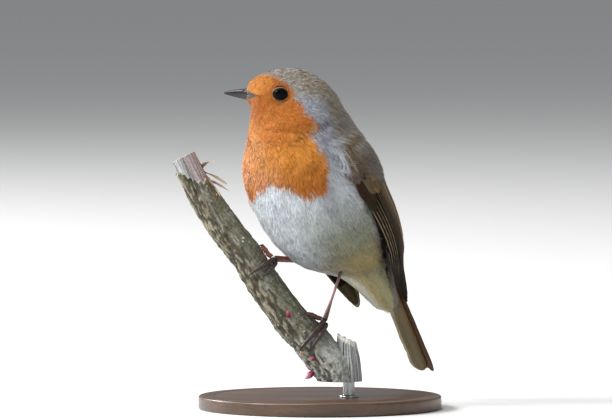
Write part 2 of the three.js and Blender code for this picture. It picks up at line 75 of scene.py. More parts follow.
def step(x, at, over):
    """A smooth step up where x is at, as wide as over, or down where over is minus."""
    return soft((x - at) / over)


def faded(strength, *steps):
    """A strength times a smooth step for each value, place and width given."""
    for x, at, over in steps:
        strength = strength * step(x, at, over)
    return strength


def bell(*terms):
    """1 where each value is at its place, and e to the minus sum of the squares of their
    distances, in the widths given, away from it."""
    return np.exp(sum(-((x - at) / wide) ** 2 for x, at, wide in terms))


def read_off(table, at):
    """The second column of a table where the first is at, straight between its rows."""
    return np.interp(at, table[:, 0], table[:, 1])


def degrees_round(angle):
    """Degrees from the belly line, from -180 to 180, plus to the bird's left."""
    return (np.degrees(angle) + 180) % 360 - 180


def axes_of(pitch, turn):
    """Unit vectors along the spine, towards the back and to the bird's left."""
    p, t = np.radians(pitch), np.radians(turn)
    along = np.stack([-np.cos(t) * np.cos(p), -np.sin(t) * np.cos(p), np.sin(p)], -1)
    back = np.stack([np.cos(t) * np.sin(p), np.sin(t) * np.sin(p), np.cos(p)], -1)
    left = np.stack([np.sin(t), -np.cos(t), np.zeros_like(p)], -1)
    return along, back, left


ALONG, BACK, LEFT = axes_of(np.array(BODY_PITCH), np.array(BODY_TURN))


def in_trunk(along, back, left):
    """The trunk's centre plus a length along each of its three axes."""
    parts = [np.asarray(x, float)[..., None] * axis
             for x, axis in ((along, ALONG), (back, BACK), (left, LEFT))]
    return BODY_CENTRE + sum(parts)


def body_rows():
    rows = []
    for (cx, cz), (tx, tz), turn, side in HEAD_SECTIONS:
        dx, dz = cx - tx, cz - tz
        half, pitch = np.hypot(dx, dz) / 2, np.degrees(np.arctan2(dx, dz))
        rows.append([(cx + tx) / 2, HEAD_PLANE_Y, (cz + tz) / 2, pitch, turn, half, side])
    rows += [[*c, pitch, turn, half, side] for c, pitch, turn, half, side in NECK_SECTIONS]
    for at, back, belly, side in [*TRUNK_SECTIONS, COVERTS_END]:
        centre = in_trunk(at, (back + belly) / 2, 0.0)
        rows.append([*centre, BODY_PITCH, BODY_TURN, (back - belly) / 2, side])
    return np.array(rows)


BODY_ROWS = body_rows()


def through(rows, place):
    """Smooth curve through the rows at fractional row numbers: each cubic leaves a row
    at half the step between its two neighbours."""
    rows, place = np.asarray(rows, float), np.asarray(place, float)
    last = len(rows) - 1
    i = np.clip(np.floor(place).astype(int), 0, last - 1)
    f = (place - i)[..., None]
    a, b, c, d = (rows[np.clip(i + k, 0, last)] for k in (-1, 0, 1, 2))
    return b + 0.5 * f * ((c - a) + f * ((2 * a - 5 * b + 4 * c - d) + f * (3 * (b - c) + d - a)))


def body(place, angle, height=0.0):
    """A point of the bird's outline: an ellipse across the spine at a section number,
    at an angle from the belly line towards the bird's left, height outside it. Beyond the
    first and last section it goes straight on."""
    place, angle = np.broadcast_arrays(np.asarray(place, float), np.asarray(angle, float))
    held = np.clip(place, 0, TAIL_END + 1)
    inside = np.clip(held, 0.04, TAIL_END + 0.96)
    slope = (through(BODY_ROWS, inside + 0.04) - through(BODY_ROWS, inside - 0.04)) / 0.08
    row = through(BODY_ROWS, held) + (place - held)[..., None] * slope
    row[..., 5:] = np.maximum(row[..., 5:], 1.2)
    _, back, left = axes_of(row[..., 3], row[..., 4])
    up, side = row[..., 5] + height, row[..., 6] + height
    return (row[..., :3] - (np.cos(angle) * up)[..., None] * back
            + (np.sin(angle) * side)[..., None] * left)


# ---------------------------------------------------------------- meshes
def signed_volume(points, faces):
    """Sum of a x b . c / 6 over the triangles of fanned faces."""
    total = 0.0
    for f in faces:
        for k in range(1, f.shape[1] - 1):
            a, b, c = points[f[:, 0]], points[f[:, k]], points[f[:, k + 1]]
            total += np.einsum("ij,ij->", np.cross(a, b), c)
    return total / 6


def grid_faces(rows, cols, around):
    """Quads of a grid of rows x cols points, joined round from last to first column."""
    r = np.arange(rows - 1)[:, None] * cols
    c = np.arange(cols if around else cols - 1)[None, :]
    n = (c + 1) % cols
    quads = np.broadcast_arrays(r + c, r + n, r + cols + n, r + cols + c)
    return np.stack(quads, -1).reshape(-1, 4)


def closed_lofts(rings):
    """rings[which, row, column]: each loft joins its rows in turn and closes both ends on a
    point at their middle. Points in one list, faces that point outwards."""
    count, rows, cols = rings.shape[:3]
    ends = [rings[:, :1].mean(2), rings[:, -1:].mean(2)]
    points = np.concatenate([rings.reshape(count, -1, 3), *ends], 1)
    k = np.arange(cols)
    n = (k + 1) % cols
    start = np.stack([np.full(cols, rows * cols), n, k], -1)
    last = (rows - 1) * cols
    end = np.stack([np.full(cols, rows * cols + 1), last + k, last + n], -1)
    faces = [grid_faces(rows, cols, True), start, end]
    if signed_volume(points[0], faces) < 0:
        faces = [f[:, ::-1] for f in faces]
    size = points.shape[1]
    first = (np.arange(count) * size)[:, None, None]
    return points.reshape(-1, 3), [(f[None] + first).reshape(-1, f.shape[1]) for f in faces]


def closed_loft(rings):
    return closed_lofts(rings[None])


def loft_values(values, rings):
    """Values at the points of closed_lofts: one number, one for each row or one for each
    point of rings[which, row, column]."""
    values = np.asarray(values, float)
    if values.ndim == 1:
        values = values[:, None]
    values = np.broadcast_to(values, rings.shape[:3])
    ends = [values[:, :1].mean(2), values[:, -1:].mean(2)]
    return np.concatenate([values.reshape(len(values), -1), *ends], 1).ravel()


def joined(parts):
    """One list of points and one of faces from several."""
    points, faces, first = [], [], 0
    for p, f in parts:
        points.append(p)
        faces += [g + first for g in f]
        first += len(p)
    return np.concatenate(points), faces


def placed(name, data):
    """A new object in the scene."""
    made = bpy.data.objects.new(name, data)
    bpy.context.scene.collection.objects.link(made)
    return made


def piece(name, points, faces, paint, stands_for=(), values=None, patch=None):
    """Puts a piece's points (mm) and faces into a mesh, with named values per point and,
    for a coat, the place of each point on the unwrapped skin."""
    mesh = bpy.data.meshes.new(name)
    points = np.ascontiguousarray(points, float).reshape(-1, 3)
    mesh.vertices.add(len(points))
    mesh.vertices.foreach_set("co", (points * MM).astype(np.float32).ravel())
    corners = np.concatenate([f.ravel() for f in faces]).astype(np.int32)
    sizes = np.concatenate([np.full(len(f), f.shape[1]) for f in faces])
    starts = np.concatenate([[0], np.cumsum(sizes)[:-1]]).astype(np.int32)
    mesh.loops.add(len(corners))
    mesh.loops.foreach_set("vertex_index", corners)
    mesh.polygons.add(len(sizes))
    mesh.polygons.foreach_set("loop_start", starts)
    mesh.polygons.foreach_set("use_smooth", np.ones(len(sizes), bool))
    mesh.update(calc_edges=True)
    for key, value in (values or {}).items():
        layer = mesh.attributes.new(key, "FLOAT", "POINT")
        layer.data.foreach_set("value", np.ascontiguousarray(value, np.float32).ravel())
    if patch is not None:
        layer = mesh.uv_layers.new(name="OFBake")
        layer.data.foreach_set("uv", patch.astype(np.float32)[corners].ravel())
    mesh.validate()
    made = placed(name, mesh)
    mesh.materials.append(paint)
    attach(made, "root")
    if stands_for:
        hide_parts(*stands_for)


def loft(name, rings, paint, slot, stands_for=(), **values):
    """A piece that is one loft of rings[row, column], or several of rings[which, row, column]."""
    rings = rings.reshape(-1, *rings.shape[-3:])
    points, faces = closed_lofts(rings)
    values = {key: loft_values(value, rings) for key, value in values.items()}
    piece(name, points, faces, paint, stands_for, values)


def circle(count):
    """Angles at even steps once round."""
    return 2 * np.pi * np.arange(count) / count


def tube(path, radii, sides, across, flat=1.0):
    """Rings of a round rod along a path: the first direction of each ring is square to the
    path and to the given vector, the second square to both and scaled by flat."""
    path = np.asarray(path, float)
    ahead = unit(np.gradient(path, axis=0))
    one = unit(np.cross(ahead, np.broadcast_to(across, path.shape)))
    two = np.cross(one, ahead)
    angle = circle(sides)
    ring = (np.cos(angle)[:, None] * one[:, None] + flat * np.sin(angle)[:, None] * two[:, None])
    return path[:, None] + np.asarray(radii, float)[:, None, None] * ring


# ---------------------------------------------------------------- colours and materials
def srgb(r, g, b):
    c = np.array([r, g, b]) / 255
    c = np.where(c <= 0.04045, c / 12.92, ((c + 0.055) / 1.055) ** 2.4)
    return (*c, 1.0)


def add(tree, kind, inputs, **settings):
    """A node with its settings, its inputs set to a value or linked from a socket."""
    node = tree.nodes.new(kind)
    for key, value in settings.items():
        setattr(node, key, value)
    for key, value in inputs.items():
        if isinstance(value, bpy.types.NodeSocket):
            tree.links.new(value, node.inputs[key])
        else:
            node.inputs[key].default_value = value
    return node


def mix(tree, amount, a, b, kind="MIX"):
    """Mix of two colours; kind is a blend type."""
    node = add(tree, "ShaderNodeMix", {0: amount, 6: a, 7: b}, data_type="RGBA", blend_type=kind)
    return node.outputs[2]


def laid(tree, colour, *coats):
    """A colour with others laid over it in turn, each by its mask."""
    for mask, paint in coats:
        colour = mix(tree, mask, colour, paint)
    return colour


def maths(tree, operation, *values):
    return add(tree, "ShaderNodeMath", dict(enumerate(values)), operation=operation).outputs[0]


def summed(tree, first, *others):
    for other in others:
        first = maths(tree, "ADD", first, other)
    return first


def graded(tree, value, low, high, out_low=0.0, out_high=1.0):
    """value taken from low..high to out_low..out_high and held there."""
    node = add(tree, "ShaderNodeMapRange", {0: value, 1: low, 2: high, 3: out_low, 4: out_high})
    return node.outputs[0]


def value_of(tree, name):
    return add(tree, "ShaderNodeAttribute", {}, attribute_name=name).outputs["Fac"]


def shaded(tree, colour, shade):
    """A colour times a shade that is the same in red, green and blue."""
    grey = add(tree, "ShaderNodeCombineColor", {0: shade, 1: shade, 2: shade})
    return mix(tree, 1.0, colour, grey.outputs[0], "MULTIPLY")


def new_group(name, inputs, output):
    """A node group with inputs and one output, each a name and a kind of socket: the group,
    what is given to it and the socket for its result."""
    group = bpy.data.node_groups.new(name, "ShaderNodeTree")
    for (key, kind), way in [(pair, "INPUT") for pair in inputs] + [(output, "OUTPUT")]:
        group.interface.new_socket(key, in_out=way, socket_type="NodeSocket" + kind)
    given = group.nodes.new("NodeGroupInput").outputs
    return group, given, group.nodes.new("NodeGroupOutput").inputs[0]


def speckle_group():
    """Noise on Object coordinates: Scale counts its cells in a metre, and a Stretch under 1
    draws them out along that axis."""
    inputs = [("Scale", "Float"), ("Detail", "Float"), ("Roughness", "Float"), ("Stretch", "Vector")]
    group, given, out = new_group("Speckle", inputs, ("Amount", "Float"))
    where = add(group, "ShaderNodeTexCoord", {}).outputs["Object"]
    drawn = add(group, "ShaderNodeMapping", {"Vector": where, "Scale": given["Stretch"]})
    values = {key: given[key] for key in ("Scale", "Detail", "Roughness")}
    noise = add(group, "ShaderNodeTexNoise", {"Vector": drawn.outputs[0], **values})
    group.links.new(noise.outputs["Fac"], out)
    return group


SPECKLE = speckle_group()
NOISE = (0.3, 0.7)  # nearly all of the noise lies between these
NOISE_CORE = (0.35, 0.65)  # and most of it between these


def speckle(tree, scale, detail=2.0, stretch=(1, 1, 1), roughness=0.5):
    """The Speckle group placed in a material or group with its own values."""
    values = {"Scale": scale, "Detail": detail, "Roughness": roughness, "Stretch": stretch}
    return add(tree, "ShaderNodeGroup", values, node_tree=SPECKLE).outputs[0]


def material(name, **shader):
    """A new material and its shader, with the shader's plain values set on its sockets."""
    made = bpy.data.materials.new(name)
    made.use_nodes = True
    bsdf = made.node_tree.nodes["Principled BSDF"]
    for key, value in shader.items():
        bsdf.inputs[key.replace("_", " ")].default_value = value
    return made, made.node_tree, bsdf


def painted(tree, bsdf, colour, height=None, strength=0.0, depth=0.0):
    """Puts a colour on a shader, and a bump from a height, its depth in metres."""
    tree.links.new(colour, bsdf.inputs["Base Color"])
    if height is not None:
        bump = add(tree, "ShaderNodeBump", {"Strength": strength, "Distance": depth, "Height": height})
        tree.links.new(bump.outputs[0], bsdf.inputs["Normal"])


# The deep orange stands partly for painted shade on the chin and the lower breast.
ORANGE, DEEP_ORANGE = srgb(209, 138, 59), srgb(175, 101, 40)
SLATE, WHITE = srgb(152, 155, 163), srgb(212, 218, 223)
BUFF, GREY_BUFF = srgb(178, 161, 107), srgb(146, 148, 128)
OLIVE, RUMP = srgb(128, 122, 115), srgb(122, 112, 96)
ROOT_SHADE, TIP_SHADE = 0.58, 1.10  # of a feather's colour
SKIN_VALUES = ("Bib", "Slate", "White", "Buff", "Deep", "Tone", "Reach")


def plumage_group():
    """Colour of body feathers from the skin's markings: olive, then slate, white, buff and
    orange laid over it by their weights, Deep greying the buff and deepening the orange, partly
    as painted shade, lighter towards each tip and varied by Tone, which holds each tuft's
    own tone and the painted light and shade laid over the body."""
    group, given, out = new_group("Plumage", [(key, "Float") for key in SKIN_VALUES], ("Colour", "Color"))
    fine, broad = speckle(group, 900.0, 3.0), speckle(group, 120.0)
    colour = mix(group, graded(group, broad, *NOISE_CORE), OLIVE, RUMP)
    buff = mix(group, given["Deep"], BUFF, GREY_BUFF)
    bib = mix(group, given["Deep"], ORANGE, DEEP_ORANGE)
    coats = (("Slate", SLATE), ("White", WHITE), ("Buff", buff), ("Bib", bib))
    colour = laid(group, colour, *((given[key], paint) for key, paint in coats))
    shade = summed(group, given["Tone"], graded(group, fine, *NOISE, -0.06, 0.06),
                   graded(group, given["Reach"], 0.0, 1.0, ROOT_SHADE, TIP_SHADE))
    group.links.new(shaded(group, colour, shade), out)
    return group


def plumage_material():
    made, tree, bsdf = material("plumage", Roughness=0.8, Sheen_Weight=0.75, Sheen_Roughness=0.35,
                                Specular_IOR_Level=0.12)
    values = {key: value_of(tree, key.lower()) for key in SKIN_VALUES}
    painted(tree, bsdf, add(tree, "ShaderNodeGroup", values, node_tree=plumage_group()).outputs[0])
    return made


PLUMAGE = plumage_material()

# ---------------------------------------------------------------- markings
# Edges of the markings, as section numbers against degrees from the belly line.
BIB_SIDE = np.array([
    [0, 182], [2.2, 182], [2.7, 156], [3.8, 132], [4.2, 123], [4.9, 113], [5.9, 103],
    [6.3, 101], [6.7, 95], [7.2, 94], [7.62, 92], [7.78, 84], [7.92, 75], [8.5, 72],
    [8.95, 69], [9.85, 65], [10.55, 60], [11, 55]])
BIB_FOOT = np.array([  # turns to the bird's right are minus
    [-60, 10.6], [-40, 10.6], [-24, 10.35], [-16, 10.1], [0, 9.68], [10, 9.5], [18, 9.6],
    [26, 9.85], [34, 10.1], [40, 10.4], [48, 10.36], [58, 10.45], [66, 9.95], [180, 9.95]])
OLIVE_EDGE = np.array([
    [0, 170], [2.6, 158], [3.8, 134], [4.9, 108], [5.4, 109], [5.9, 114], [6.4, 120],
    [6.8, 122], [7.1, 120], [7.5, 114], [7.9, 106], [8.2, 99], [8.6, 94], [9.2, 90], [10.6, 88],
    [12, 92], [15, 92], [16.4, 98], [17.6, 98], [18.8, 74], [20, 56]])
GAPE_EDGE = np.array([[0, 62], [0.5, 34], [1, 20], [2, 8], [3, 0], [3.2, -9]])
WHITE_EDGE = np.array([[9, 40], [10.5, 54], [12, 54], [14, 50], [16, 50], [17.5, 44], [21, 44]])


BIB_SIDE_FADES, BIB_FOOT_FADES = 7, 0.22  # how wide each edge is: degrees, section numbers
OLIVE_FADES, WHITE_FADES, GAPE_FADES = 22, 40, 5
GAPE_DEGREES = 82


def within(edge, x, value, over):
    """1 where a value is less than an edge's at x, 0 where it is more."""
    return step(value, read_off(edge, x), -over)


def markings(place, angle):
    """Weight of each colour at a place on the skin. The bib lies inside its side edge and
    above its foot, slate between the bib and the olive back, white down the belly's middle
    and at the wing's bend, buff on the flanks and round the vent; dark feathers narrow
    back from the bill's base to the gape. Towards the bird's right the bib is thinned a little as
    painted light, and deep is partly painted shade on the chin and the breast's lower part."""
    turn = degrees_round(angle)
    degrees = np.abs(turn)
    bib = within(BIB_SIDE, place, degrees, BIB_SIDE_FADES) * within(BIB_FOOT, turn, place, BIB_FOOT_FADES)
    # painted light: towards the bird's right a tenth of the bib gives way to the paler slate beneath, as of
    # light from behind
    bib = bib * (1 - faded(0.1, (turn, 20, -30), (place, 6.8, 1.2), (place, 9.7, -0.8)))
    gape = within(GAPE_EDGE, place, np.abs(degrees - GAPE_DEGREES), GAPE_FADES)
    under = within(OLIVE_EDGE, place, degrees, OLIVE_FADES) * step(place, 5.1, 0.8)
    bend = faded(0.6, (place, 9.2, 0.8), (place, 11.8, -1.4), (degrees, 62, 12))
    white = np.maximum(within(WHITE_EDGE, place, degrees, WHITE_FADES) * step(place, 9, 1.0), bend)
    flank = step(place, 11.6, 2.6) * step(degrees, 28, 44)
    vent = faded(0.9, (place, 13.6, 2.0), (place, 20.4, -2.6)) * (0.45 + faded(0.55, (degrees, 14, 24)))
    # deep on the lower breast, the cheeks and the chin: the bib's deeper orange, and on the chin and the
    # lower breast partly painted shade
    breast = faded(0.85, (place, 9.2, 1.8))
    cheek = faded(0.85, (place, 3.4, 1.6), (place, 7.8, -1.2), (degrees, 26, 30))
    chin = faded(0.8, (place, 4.2, -1.6), (degrees, 84, -20))
    grey = faded(0.6, (degrees, 46, 20), (place, 15.4, 0.8))
    deep = np.where(place > 11.4, 1 - vent * (1 - grey), breast + cheek + chin)
    return {
        "bib": bib * (1 - gape), "slate": under * (1 - faded(0.85, (place, 13, 2))),
        "white": white * under, "buff": np.maximum(flank, vent) * under,
        "deep": np.clip(deep, 0, 1), "gape": gape}


# ---------------------------------------------------------------- wings' own surface
WING_LINES = np.array([  # along the spine, towards the back, outwards; lower, middle, upper
    [[19.3, -3.1, 22.5], [8.1, -4.2, 25.3], [-4, -2.6, 25.9], [-16.2, 0.6, 24.9],
     [-28.2, 4.3, 21.5], [-38.2, 7.2, 17.2], [-46.1, 10, 13.9], [-52.1, 12.9, 12.3]],
    [[19.6, 3.9, 23.6], [8.3, 6.3, 25.9], [-3.9, 8.2, 25.4], [-16.1, 10.5, 24.1],
     [-28.3, 12.6, 20.5], [-38.2, 13.4, 16.4], [-46.1, 13.9, 14.2], [-52.8, 14.2, 12.6]],
    [[18.2, 8.6, 20.8], [8.1, 13.7, 18.8], [-3.9, 17.1, 15.2], [-15.9, 20.7, 13],
     [-28.1, 21.2, 11.9], [-38.1, 18.5, 11.9], [-46, 16.2, 12.8], [-52.1, 15.1, 12.2]]])
RIGHT_WING_DROOP = (-3.0, -1.5)
WING_THICK, WING_TIP_THICK = 3.2, 0.9


def wing_flat(s, w, side):
    """The folded wing's outer surface: s from shoulder to tip, w from lower to upper edge;
    across it a parabola through the three lines."""
    s, w = np.broadcast_arrays(np.asarray(s, float), np.asarray(w, float))
    low, mid, high = (through(line, s * (WING_LINES.shape[1] - 1)) for line in WING_LINES)
    a, b, c = 2 * (w - 0.5) * (w - 1), 4 * w * (1 - w), 2 * w * (w - 0.5)
    at = a[..., None] * low + b[..., None] * mid + c[..., None] * high
    droop = s * s if side < 0 else np.zeros_like(s)
    return in_trunk(at[..., 0] + RIGHT_WING_DROOP[0] * droop,
                    at[..., 1] + RIGHT_WING_DROOP[1] * droop, side * at[..., 2])


def wing(s, w, height, side):
    """The wing's surface raised by height along its normal."""
    near = 0.01
    inner_s, inner_w = np.clip(s, near, 1 - near), np.clip(w, 0.0, 1.0)
    along = wing_flat(inner_s + near, inner_w, side) - wing_flat(inner_s - near, inner_w, side)
    over = wing_flat(inner_s, inner_w + near, side) - wing_flat(inner_s, inner_w - near, side)
    normal = side * unit(np.cross(along, over))
    return wing_flat(s, w, side) + np.asarray(height)[..., None] * normal


def line_place(which):
    """Section numbers and degrees round the trunk of one line of the wing."""
    at, back, left = WING_LINES[which].T
    rows = TRUNK_SECTIONS[::-1]
    centre = np.interp(at, rows[:, 0], (rows[:, 1] + rows[:, 2]) / 2)
    half = np.interp(at, rows[:, 0], (rows[:, 1] - rows[:, 2]) / 2)
    side = np.interp(at, rows[:, 0], rows[:, 3])
    place = TRUNK_FIRST + np.interp(at, rows[:, 0], np.arange(len(rows))[::-1])
    return place, np.degrees(np.arctan2(left / side, (centre - back) / half))


LOWER_PLACE, LOWER_DEGREES = line_place(0)
UPPER_PLACE, UPPER_DEGREES = line_place(2)


def under_wing(place, angle, margin):
    """True where a wing lies over the trunk, margin degrees inside the wing's edges."""
    degrees = np.abs(degrees_round(angle))
    low = np.interp(place, LOWER_PLACE, LOWER_DEGREES) + margin
    high = np.interp(place, UPPER_PLACE, UPPER_DEGREES) - margin
    inside = (place > LOWER_PLACE[0] + 0.5) & (place < LOWER_PLACE[-1])
    return inside & (degrees > low) & (degrees < high)


# ---------------------------------------------------------------- skin
EYE_RADIUS = 3.2
LID = (2.75, 2.25)  # half width and half height of the open lids
EYE_CLEAR = 1.9  # the plumage parts out to this many times the lids' size
SOCKET = 0.55  # and sinks this far at the lids
EYES = {  # centre, and the way it looks along y
    "left": (np.array([-14.6, -17.80, 117.0]), -1), "right": (np.array([-14.6, -0.59, 117.0]), 1)}
FOLD = np.array([  # between head and breast: degrees round, section number, depth
    [-180, 7.4, 0], [-95, 7.4, 0], [-70, 7.2, 0.2], [-40, 6.4, 0.1], [-10, 5.3, 0.05],
    [7, 5.3, 0.1], [29, 5.85, 0.1], [38, 6.4, 0.15], [46, 6.9, 0.25], [55, 7.23, 0.5],
    [63, 7.58, 0.9], [70, 7.8, 1.15], [84, 7.8, 1.1], [94, 7.85, 0.8], [106, 8.0, 0.2], [180, 8.0, 0]])
FOLD_REACH = 0.42
RUFFLES = (  # each wave's turns round, its pace along and its phase
    (9, 2.1, 0.4), (-13, 1.3, 2.2), (17, 3.4, 4.1), (6, -5.2, 1.3), (-22, 2.8, 5.2), (11, 6.1, 3.0))
RUFFLE_SIZE = np.array([[0, 0.05], [4, 0.15], [7, 0.4], [9, 0.7], [14, 0.8], [18, 0.5], [20, 0.2]])
COAT_DEPTH = np.array([[0, 0.3], [1, 0.7], [3, 1.0], [6, 1.5], [8, 2.0], [10, 2.5], [16, 2.3],
                       [18, 1.6], [19.4, 0.9], [20, 0.6]])
FEATHER_LENGTH = np.array([
    [0, 1.2], [1, 1.5], [2.5, 1.9], [4, 2.4], [5.5, 3.0], [7, 3.8], [8.5, 5.0], [10, 5.8],
    [12, 6.6], [14, 7.4], [16, 8.0], [18, 7.6], [20, 7.0]])
GAPE_DARK = 0.4
SUNK_UNDER_WING = 3.4


def ruffle(place, angle):
    """How far the plumage stands off the outline, in mm, nearly everywhere inside it: a crease
    where the head's feathers overhang the breast, steep above and easing out below, and low
    swellings drawn out along the lie, as a sum of slow waves."""
    at, deep = (np.interp(degrees_round(angle), FOLD[:, 0], FOLD[:, k]) for k in (1, 2))
    past = place - at
    below = np.exp(-np.maximum(past, 0) / FOLD_REACH)
    fold = deep * np.where(past > 0, below, bell((past, 0, FOLD_REACH)))
    wave = sum(np.sin(across * angle + along * place + phase)
               for across, along, phase in RUFFLES) / len(RUFFLES)
    return -fold - read_off(RUFFLE_SIZE, place) * (0.5 + wave)


def plumage(place, angle, height):
    """The bird's outline with its creases and swellings, raised by height."""
    return body(place, angle, height + ruffle(place, angle))


def skin():
    """The outline drawn in by the coat's depth, from the bill's base to the tail's."""
    place = np.linspace(0, TAIL_END, 181)[:, None]
    angle = np.linspace(-np.pi, np.pi, 96, endpoint=False)[None]
    place, angle = np.broadcast_arrays(place, angle)
    sunk = SUNK_UNDER_WING * under_wing(place, angle, -4)
    rings = plumage(place, angle, -read_off(COAT_DEPTH, place) - sunk)
    marks = markings(place, angle)
    tone = -GAPE_DARK * marks.pop("gape")
    flesh = ("head", "neck", "trunk", "thigh_left", "thigh_right")
    loft("skin", rings, PLUMAGE, "plumage_body", flesh, tone=tone, reach=0.3, **marks)


# ---------------------------------------------------------------- tufts
STATIONS = np.array([0.0, 0.42, 0.76, 1.0])  # along a barb
BARB_WIDTHS = np.array([0.6, 1.0, 0.75, 0.0])
BARB_WIDE = 0.62  # half of a barb's greatest width, in shares of their spacing
BARB_POINTS = 7  # two at each station, one at the tip
SEEN = 5  # the point of a barb whose place gives its colours
FAN_ROUNDS, FAN_DROOPS = 0.3, 0.13  # how far a fan's outer barbs draw back and fall
PATCH_HALF = 0.0014  # half a tuft's size on the unwrapped skin
SPREAD = 0.7548776662466927, 0.5698402909980532  # 1/p and 1/p^2, p the plastic number


def even_spread(count):
    """Two rows of numbers from 0 to 1 that cover a square evenly: what is left over whole
    numbers by the multiples of two shares that have no common measure."""
    n = np.arange(1, count + 1)
    return ((0.5 + n * share) % 1 for share in SPREAD)


def unwrapped(x, y, e, s):
    """A small patch of the unwrapped skin for each tuft, round the tuft's own place."""
    x = x[:, None, None] + PATCH_HALF * e
    y = y[:, None, None] + PATCH_HALF * (2 * s - 1)
    return np.stack([x, y], -1).reshape(-1, 2)


def tufts(surface, u, v, length, width, root, tip, turn, barbs, seed):
    """A fan of barbs at each root (u, v): barb j leaves the root, spreads sideways by its
    share e of the half width and bends back to the lie; the fan's end is rounded, and its
    height runs from root to tip. Gives points [tuft, barb, station and side], faces, each
    point's e and station, each barb's place and the random numbers to go on with."""
    draw = np.random.default_rng(seed)
    shape = (len(u), barbs, 1, 1)
    near = 1e-3
    here = surface(u, v, np.zeros_like(u))
    run = (surface(u + near, v, np.zeros_like(u)) - here) / near
    over = (surface(u, v + near, np.zeros_like(u)) - here) / near
    speed = np.linalg.norm(run, axis=-1)
    lie = run / speed[:, None]
    skew = np.einsum("ij,ij->i", over, lie)
    wide = np.linalg.norm(over - skew[:, None] * lie, axis=-1)
    col = lambda x: np.broadcast_to(x, u.shape)[:, None, None, None]
    s, side = STATIONS[None, None, :, None], np.array([-1.0, 1.0])[None, None, None]
    e = np.linspace(-1, 1, barbs)[None, :, None, None] + draw.normal(0, 0.5 / barbs, shape)
    reach = (1 - FAN_ROUNDS * e * e) * (1 + draw.normal(0, 0.08, shape))
    a = col(length) * reach * s
    b = col(width) / 2 * e * np.sin(np.minimum(1.5 * s, 1) * np.pi / 2) * (1 - 0.12 * s * s)
    b = b + side * col(width) / barbs * BARB_WIDE * BARB_WIDTHS[None, None, :, None]
    bend = col(turn + draw.normal(0, 0.13, u.shape))
    bend = bend + draw.normal(0, 0.08, shape) * s
    a, b = a * np.cos(bend) - b * np.sin(bend), a * np.sin(bend) + b * np.cos(bend)
    lift = col(root) + (col(tip) + draw.normal(0, 0.06, shape) - col(root)) * s ** 0.85
    lift = lift - FAN_DROOPS * col(width) * e * e * s + side * draw.normal(0, 0.07, shape) * (1 - 0.5 * s)
    move_v = b / col(wide)
    move_u = (a - move_v * col(skew)) / col(speed)
    at_u, at_v = col(u) + move_u, col(v) + move_v
    every_point = lambda x: np.broadcast_to(x, (len(u), barbs, 4, 2)).reshape(len(u), barbs, 8)
    points = surface(at_u, at_v, lift).reshape(len(u), barbs, 8, 3)[:, :, :BARB_POINTS]
    first = (np.arange(len(u) * barbs) * BARB_POINTS)[:, None]
    faces = [np.concatenate([first + [0, 1, 3, 2], first + [2, 3, 5, 4]]), first + [4, 5, 6]]
    flat = points.reshape(-1, 3)
    one = faces[0][:1]
    normal = np.cross(flat[one[:, 1]] - flat[one[:, 0]], flat[one[:, 2]] - flat[one[:, 0]])[0]
    if normal @ (surface(u[:1], v[:1], np.ones(1)) - here[:1])[0] < 0:
        faces = [f[:, ::-1] for f in faces]
    e, s = (every_point(x)[:, :, :BARB_POINTS] for x in (e, s))
    seen_u, seen_v = (every_point(x)[:, :, SEEN] for x in (at_u, at_v))
    return flat, faces, e, s, seen_u, seen_v, draw


def part_at_eyes(points):
    """Draws the plumage back from each eye: what lies within the outer ellipse round the
    eye's axis moves out to the ring between it and the lids, and sinks towards them."""
    points = points.copy()
    for centre, way in EYES.values():
        x, z = points[:, 0] - centre[0], points[:, 2] - centre[2]
        near = way * (points[:, 1] - HEAD_PLANE_Y) > 0
        r = np.hypot(x / LID[0], z / LID[1])
        inside = near & (r < EYE_CLEAR)
        r_in = np.maximum(r[inside], 1e-6)
        k = (1 + r_in * (1 - 1 / EYE_CLEAR)) / r_in
        points[inside, 0] = centre[0] + x[inside] * k
        points[inside, 2] = centre[2] + z[inside] * k
        points[inside, 1] -= way * SOCKET * (1 - soft(r[inside] / EYE_CLEAR - 0.5))
    return points


def lengths(place, angle):
    """Length of a body feather's free end, by place."""
    return read_off(FEATHER_LENGTH, place) * (1 - faded(0.12, (np.abs(np.degrees(angle)), 120, 40)))


# Painted light and shade, laid into the body tufts' tone: each patch lightens or darkens the feathers for
# how light falls there, not for their colour.
PAINTED_LIGHT_AND_SHADE = {  # strength, then steps by place, by degrees either way or by turn to the left
    # painted light under the tail, lifting the shade that falls there
    "under the tail": (0.5, ("place", 15.0, 2.0), ("degrees", 28, -24)),
    # painted shade over the belly
    "belly": (-0.06, ("place", 11.4, 1.0)),
    # painted shade down the belly's middle
    "belly's middle": (-0.11, ("place", 10.4, 0.8), ("degrees", 46, -20)),
    # painted shade round the thighs
    "thighs": (-0.2, ("place", 12.4, 1.0), ("place", 15.5, -0.7), ("degrees", 4, 22)),
    # painted light on the vent, lifting its shade
    "vent": (0.34, ("place", 15.2, 0.8), ("degrees", 74, -20)),
    # painted light on the vent's sides, lifting the wing's shadow
    "vent's sides": (0.38, ("place", 15.8, 1.0), ("degrees", 52, 18)),
    # painted highlight along the bib's right edge, as of light from behind
    "bib's right edge": (0.2, ("turn", -8, -26), ("place", 6.4, 1.2), ("place", 9.6, -1.1),
                         ("turn", -100, 20)),
}
ROOTS_SINK, TIPS_SINK = -0.92, -0.3  # in shares of the coat's depth
BRIM_LIFT, BRIM_TURN = 1.5, 0.75  # over the wing's lower edge
FRONT_LIFT, FRONT_LONGER = 2.4, 0.35  # and over its front
# The first is a painted highlight on the olive of the head, as of light from above.
CROWN_HIGHLIGHT, BACK_PALE, SIDE_BARBS_DARK = 0.48, 0.05, -0.24
TUFTS_VARY, BARBS_VARY = 0.08, 0.09
# The first darkens the crease as painted shade.
CREASE_SHADE, PALE_POINT = 0.6, 0.36


